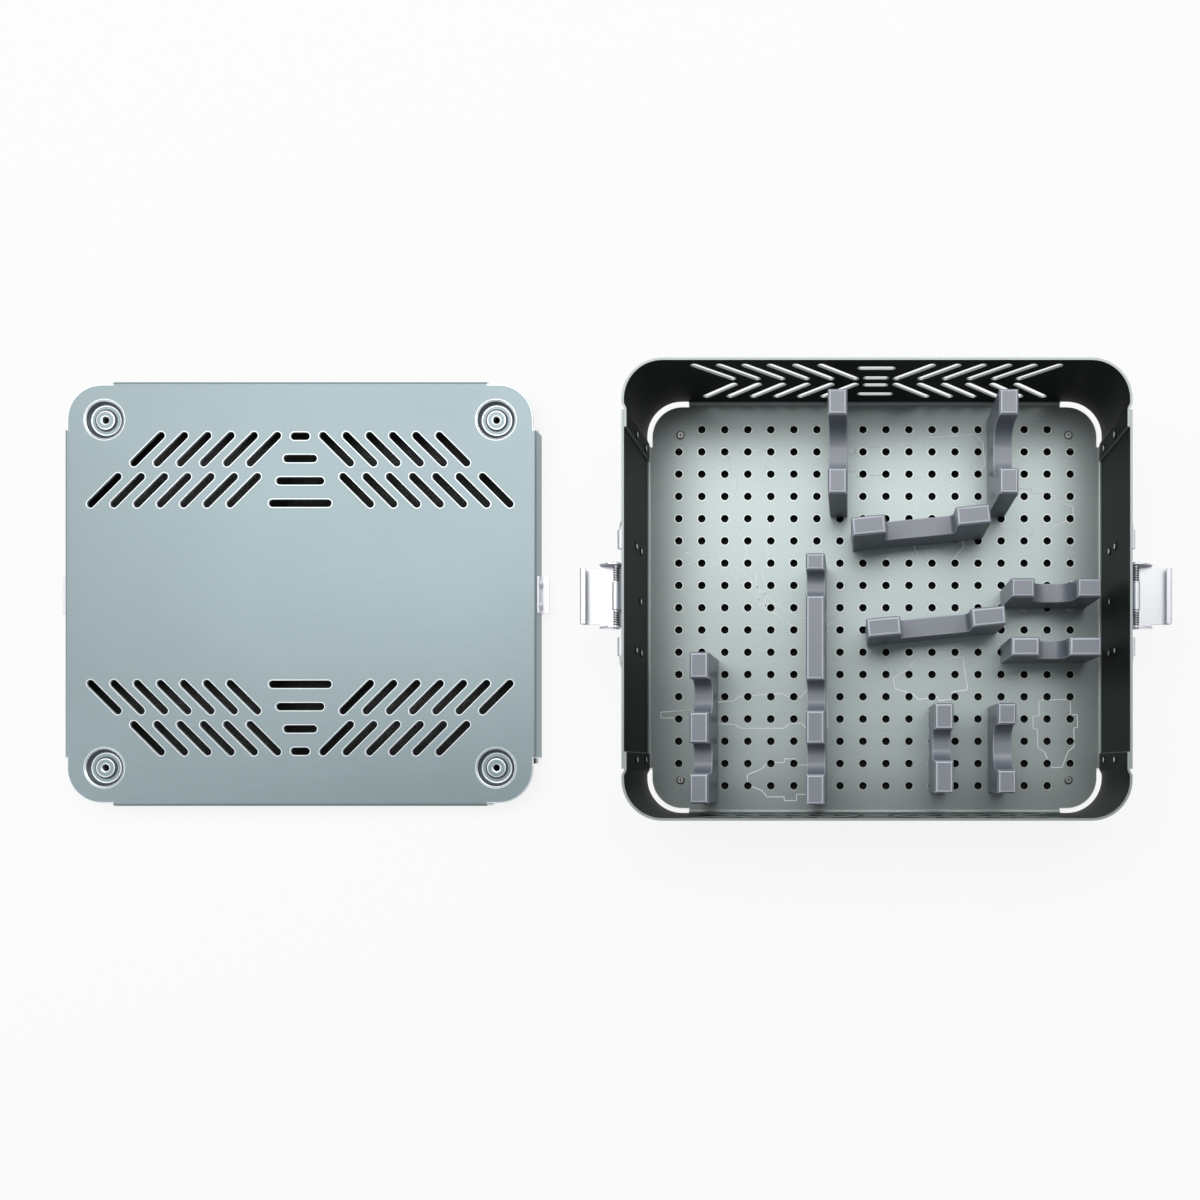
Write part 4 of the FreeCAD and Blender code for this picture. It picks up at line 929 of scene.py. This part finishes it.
def make_recess(made, centre):
    """A stacking recess, turned: a flat ring for the foot round a raised middle with a drain hole."""
    part = bmesh.new()
    profile = [(radius * MM, height * MM) for radius, height in RECESS_TOP + RECESS_UNDER]
    revolve(part, profile, centre, steps=48)
    for face in part.faces:
        spot = face.calc_center_median() - Vector(centre)
        across = math.hypot(spot.x, spot.y)
        # Rings of the recess top take painted highlights and painted shade, as listed in RECESS_BANDS
        if spot.z > -2.05 * MM:
            face.material_index = next((index for radius, index in RECESS_BANDS if across < radius * MM), 0)
    bmesh.ops.recalc_face_normals(part, faces=part.faces)
    join(made, part)


def lid_slots():
    """End centres of the vent slots: level ones in the middle, slanted ones in two rows on either side."""
    slots = []
    for y, length in LID_BARS:
        reach = (length - LID_SLOT_WIDTH) / 2
        slots += [(-reach, y * way, reach, y * way) for way in (1, -1)]
    for start, far, count in LID_ROWS:
        for number in range(count):
            x = start + LID_SLOT_PITCH * number
            for sx, sy in SIDES:
                slots.append((x * sx, far * sy, (x + LID_SLOT_RUN) * sx, (far - LID_SLOT_RUN) * sy))
    return slots


# Stage, lamps and camera

# The ground's tone in the open, and its painted shade where it is fully covered
GROUND_TONE = 0.84
PAINTED_SHADE_TONE = 0.02

# Openness above the ground at which it counts as open, and at which it counts as covered
OPENNESS = (0.95, 0.6)

# Share of pure white in what the camera sees of the ground near the object, and the distances over which it
# rises to all of it
NEAR_WHITE = 0.87
WHITENING = (0.6, 1.6)

# Lamps: name, place, target, size and power
LAMPS = (
    ("overhead", (-0.3, 0.65, 1.4), (-0.2, 0, 0), (2.8, 1.1), 23.5),
    ("left_side", (-1.5, -0.4, 0.7), (0, 0, 0), (0.8, 0.8), 2.8),
    ("right_side", (1.4, 0.3, 0.8), (0, 0, 0), (0.8, 0.8), 2.5),
)


def fade(tree, value, start, end):
    """A smooth step of a value from 0 at start to 1 at end."""
    node = add_node(tree, "ShaderNodeMapRange", interpolation_type="SMOOTHSTEP")
    node.inputs["From Min"].default_value = start
    node.inputs["From Max"].default_value = end
    tree.links.new(value, node.inputs["Value"])
    return node.outputs["Result"]


def length_of(tree, x, y):
    """The length of a level vector."""
    squares = [calculate(tree, "MULTIPLY", value, value) for value in (x, y)]
    return calculate(tree, "SQRT", calculate(tree, "ADD", *squares))


def under_cover(tree, spot, middle, half, radius):
    """1 well inside a rounded footprint on the ground, fading to 0 at its edge and at its open corners: where
    the ground takes painted shade.
    """
    reach = []
    corner = 1
    for axis in range(2):
        away = calculate(tree, "ABSOLUTE", calculate(tree, "SUBTRACT", spot.outputs[axis], middle[axis]))
        past = calculate(tree, "SUBTRACT", away, half[axis] - radius)
        corner = calculate(tree, "MULTIPLY", corner, calculate(tree, "GREATER_THAN", past, -OPEN_CORNER_RUN))
        reach.append(calculate(tree, "MAXIMUM", past, 0))
    distance = length_of(tree, *reach)
    outer = calculate(tree, "GREATER_THAN", distance, radius - OPEN_CORNER)
    inside = fade(tree, distance, radius - 1 * MM, radius - 5 * MM)
    closed = calculate(tree, "SUBTRACT", 1, calculate(tree, "MULTIPLY", corner, outer))
    return calculate(tree, "MULTIPLY", inside, closed)


def make_ground():
    """A pale ground that keeps the object's shadow.

    Its colour takes painted shade where the base or the lid lies close over it,
    so that their openings look deep.
    """
    bpy.ops.mesh.primitive_plane_add(size=40)
    ground = bpy.context.object
    ground.name = "ground"
    material, tree, shader = new_material("ground")
    shader.inputs["Roughness"].default_value = 0.9
    glow = add_node(tree, "ShaderNodeEmission", color=(1, 1, 1, 1), strength=1)
    place = add_node(tree, "ShaderNodeTexCoord")
    spot = add_node(tree, "ShaderNodeSeparateXYZ")
    tree.links.new(place.outputs["Object"], spot.inputs["Vector"])
    base = under_cover(tree, spot, (0, 0), (HALF_X, HALF_Y), CORNER_RADIUS)
    lid = under_cover(tree, spot, LID_MIDDLE, (LID_HALF_X, LID_HALF_Y), LID_CORNER_RADIUS)
    sky = add_node(tree, "ShaderNodeAmbientOcclusion", samples=6, distance=60 * MM)
    shut = fade(tree, sky.outputs["AO"], *OPENNESS)
    # Painted shade: the ground's colour darkens where it is closely covered
    dark = calculate(tree, "MULTIPLY", calculate(tree, "ADD", base, lid), shut)
    open_ground = calculate(tree, "SUBTRACT", 1, dark)
    pale = calculate(tree, "MULTIPLY", open_ground, GROUND_TONE)
    tree.links.new(calculate(tree, "ADD", pale, PAINTED_SHADE_TONE), shader.inputs["Base Color"])
    path = add_node(tree, "ShaderNodeLightPath")
    seen = calculate(tree, "MAXIMUM", path.outputs["Is Camera Ray"], path.outputs["Is Glossy Ray"])
    seen = calculate(tree, "MAXIMUM", seen, path.outputs["Is Transmission Ray"])
    far = fade(tree, length_of(tree, spot.outputs["X"], spot.outputs["Y"]), *WHITENING)
    white = calculate(tree, "ADD", NEAR_WHITE, calculate(tree, "MULTIPLY", far, 1 - NEAR_WHITE))
    share = calculate(tree, "MULTIPLY", calculate(tree, "MULTIPLY", seen, open_ground), white)
    mix = add_node(tree, "ShaderNodeMixShader")
    tree.links.new(share, mix.inputs["Fac"])
    tree.links.new(shader.outputs["BSDF"], mix.inputs[1])
    tree.links.new(glow.outputs["Emission"], mix.inputs[2])
    tree.links.new(mix.outputs["Shader"], tree.nodes["Material Output"].inputs["Surface"])
    ground.data.materials.append(material)


def make_world():
    """Soft grey light from all round, and plain white for the camera."""
    world = bpy.data.worlds.new("studio")
    bpy.context.scene.world = world
    world.use_nodes = True
    tree = world.node_tree
    background = tree.nodes["Background"]
    background.inputs["Color"].default_value = (0.62, 0.64, 0.66, 1)
    background.inputs["Strength"].default_value = 0.36
    white = add_node(tree, "ShaderNodeBackground", color=(1, 1, 1, 1), strength=1)
    path = add_node(tree, "ShaderNodeLightPath")
    mix = add_node(tree, "ShaderNodeMixShader")
    tree.links.new(path.outputs["Is Camera Ray"], mix.inputs["Fac"])
    tree.links.new(background.outputs["Background"], mix.inputs[1])
    tree.links.new(white.outputs["Background"], mix.inputs[2])
    tree.links.new(mix.outputs["Shader"], tree.nodes["World Output"].inputs["Surface"])


def make_lamp(name, place, target, size, power):
    lamp = bpy.data.lights.new(name, "AREA")
    lamp.shape = "RECTANGLE"
    lamp.size, lamp.size_y = size
    lamp.energy = power
    thing = link(bpy.data.objects.new(name, lamp))
    thing.location = place
    thing.rotation_mode = "QUATERNION"
    thing.rotation_quaternion = (Vector(target) - Vector(place)).to_track_quat("-Z", "Y")
    return thing


def make_camera():
    camera = bpy.data.cameras.new("photo_camera")
    camera.sensor_fit = "HORIZONTAL"
    camera.sensor_width = SENSOR
    camera.lens = FOCAL_PX / PHOTO_SIZE * SENSOR
    camera.shift_x = (PHOTO_SIZE / 2 - FOOT_POINT_PX[0]) / PHOTO_SIZE
    camera.shift_y = (FOOT_POINT_PX[1] - PHOTO_SIZE / 2) / PHOTO_SIZE
    camera.clip_start = 0.01
    thing = link(bpy.data.objects.new("photo_camera", camera))
    thing.location = CAMERA_PLACE
    bpy.context.scene.camera = thing


make_camera()
make_ground()
make_world()
for lamp in LAMPS:
    make_lamp(*lamp)

make_floor()
make_etching()
for side, sign in (("right", 1), ("left", -1)):
    make_side_panel(side, sign)
    make_bail(side)
    make_springs(side)
for side, sign in (("back", 1), ("front", -1)):
    make_wall(side, sign)
for node in ("corner_rivets", "handle_clip_rivets", "latch_rivets"):
    make_rivets(node, 0)
make_rivets("lid_catch_rivets", LID_MIDDLE.x)
make_foot_screws()
make_lid()

# The rest keep their CAD shape, with their edges rounded
DRESSED = {
    # The holders' rounded edges take the painted highlight
    "holder_silicone": ([holder_silicone, holder_edge_highlight], 0.9 * MM),
    "latch_steel": ([steel], 0.15 * MM),
    "wire_steel": ([wire], 0.15 * MM),
    "rivet_metal": ([rivet_metal], 0.15 * MM),
    "foot_rubber": ([foot_rubber], 0.3 * MM),
}
done = {"floor_plate", "side_panel_left", "side_panel_right", "back_wall", "front_wall", "lid", "foot_screws"}
done |= {f"{name}_{side}" for name in ("bail_handle", "latch_springs") for side in ("left", "right")}
done |= {"corner_rivets", "handle_clip_rivets", "latch_rivets", "lid_catch_rivets"}
for node in sorted(set(frame["nodes"]) - done):
    materials, bevel = DRESSED[SLOT_OF[node]]
    dressed_copy(node, materials, bevel)

bpy.context.scene.view_settings.view_transform = "Standard"
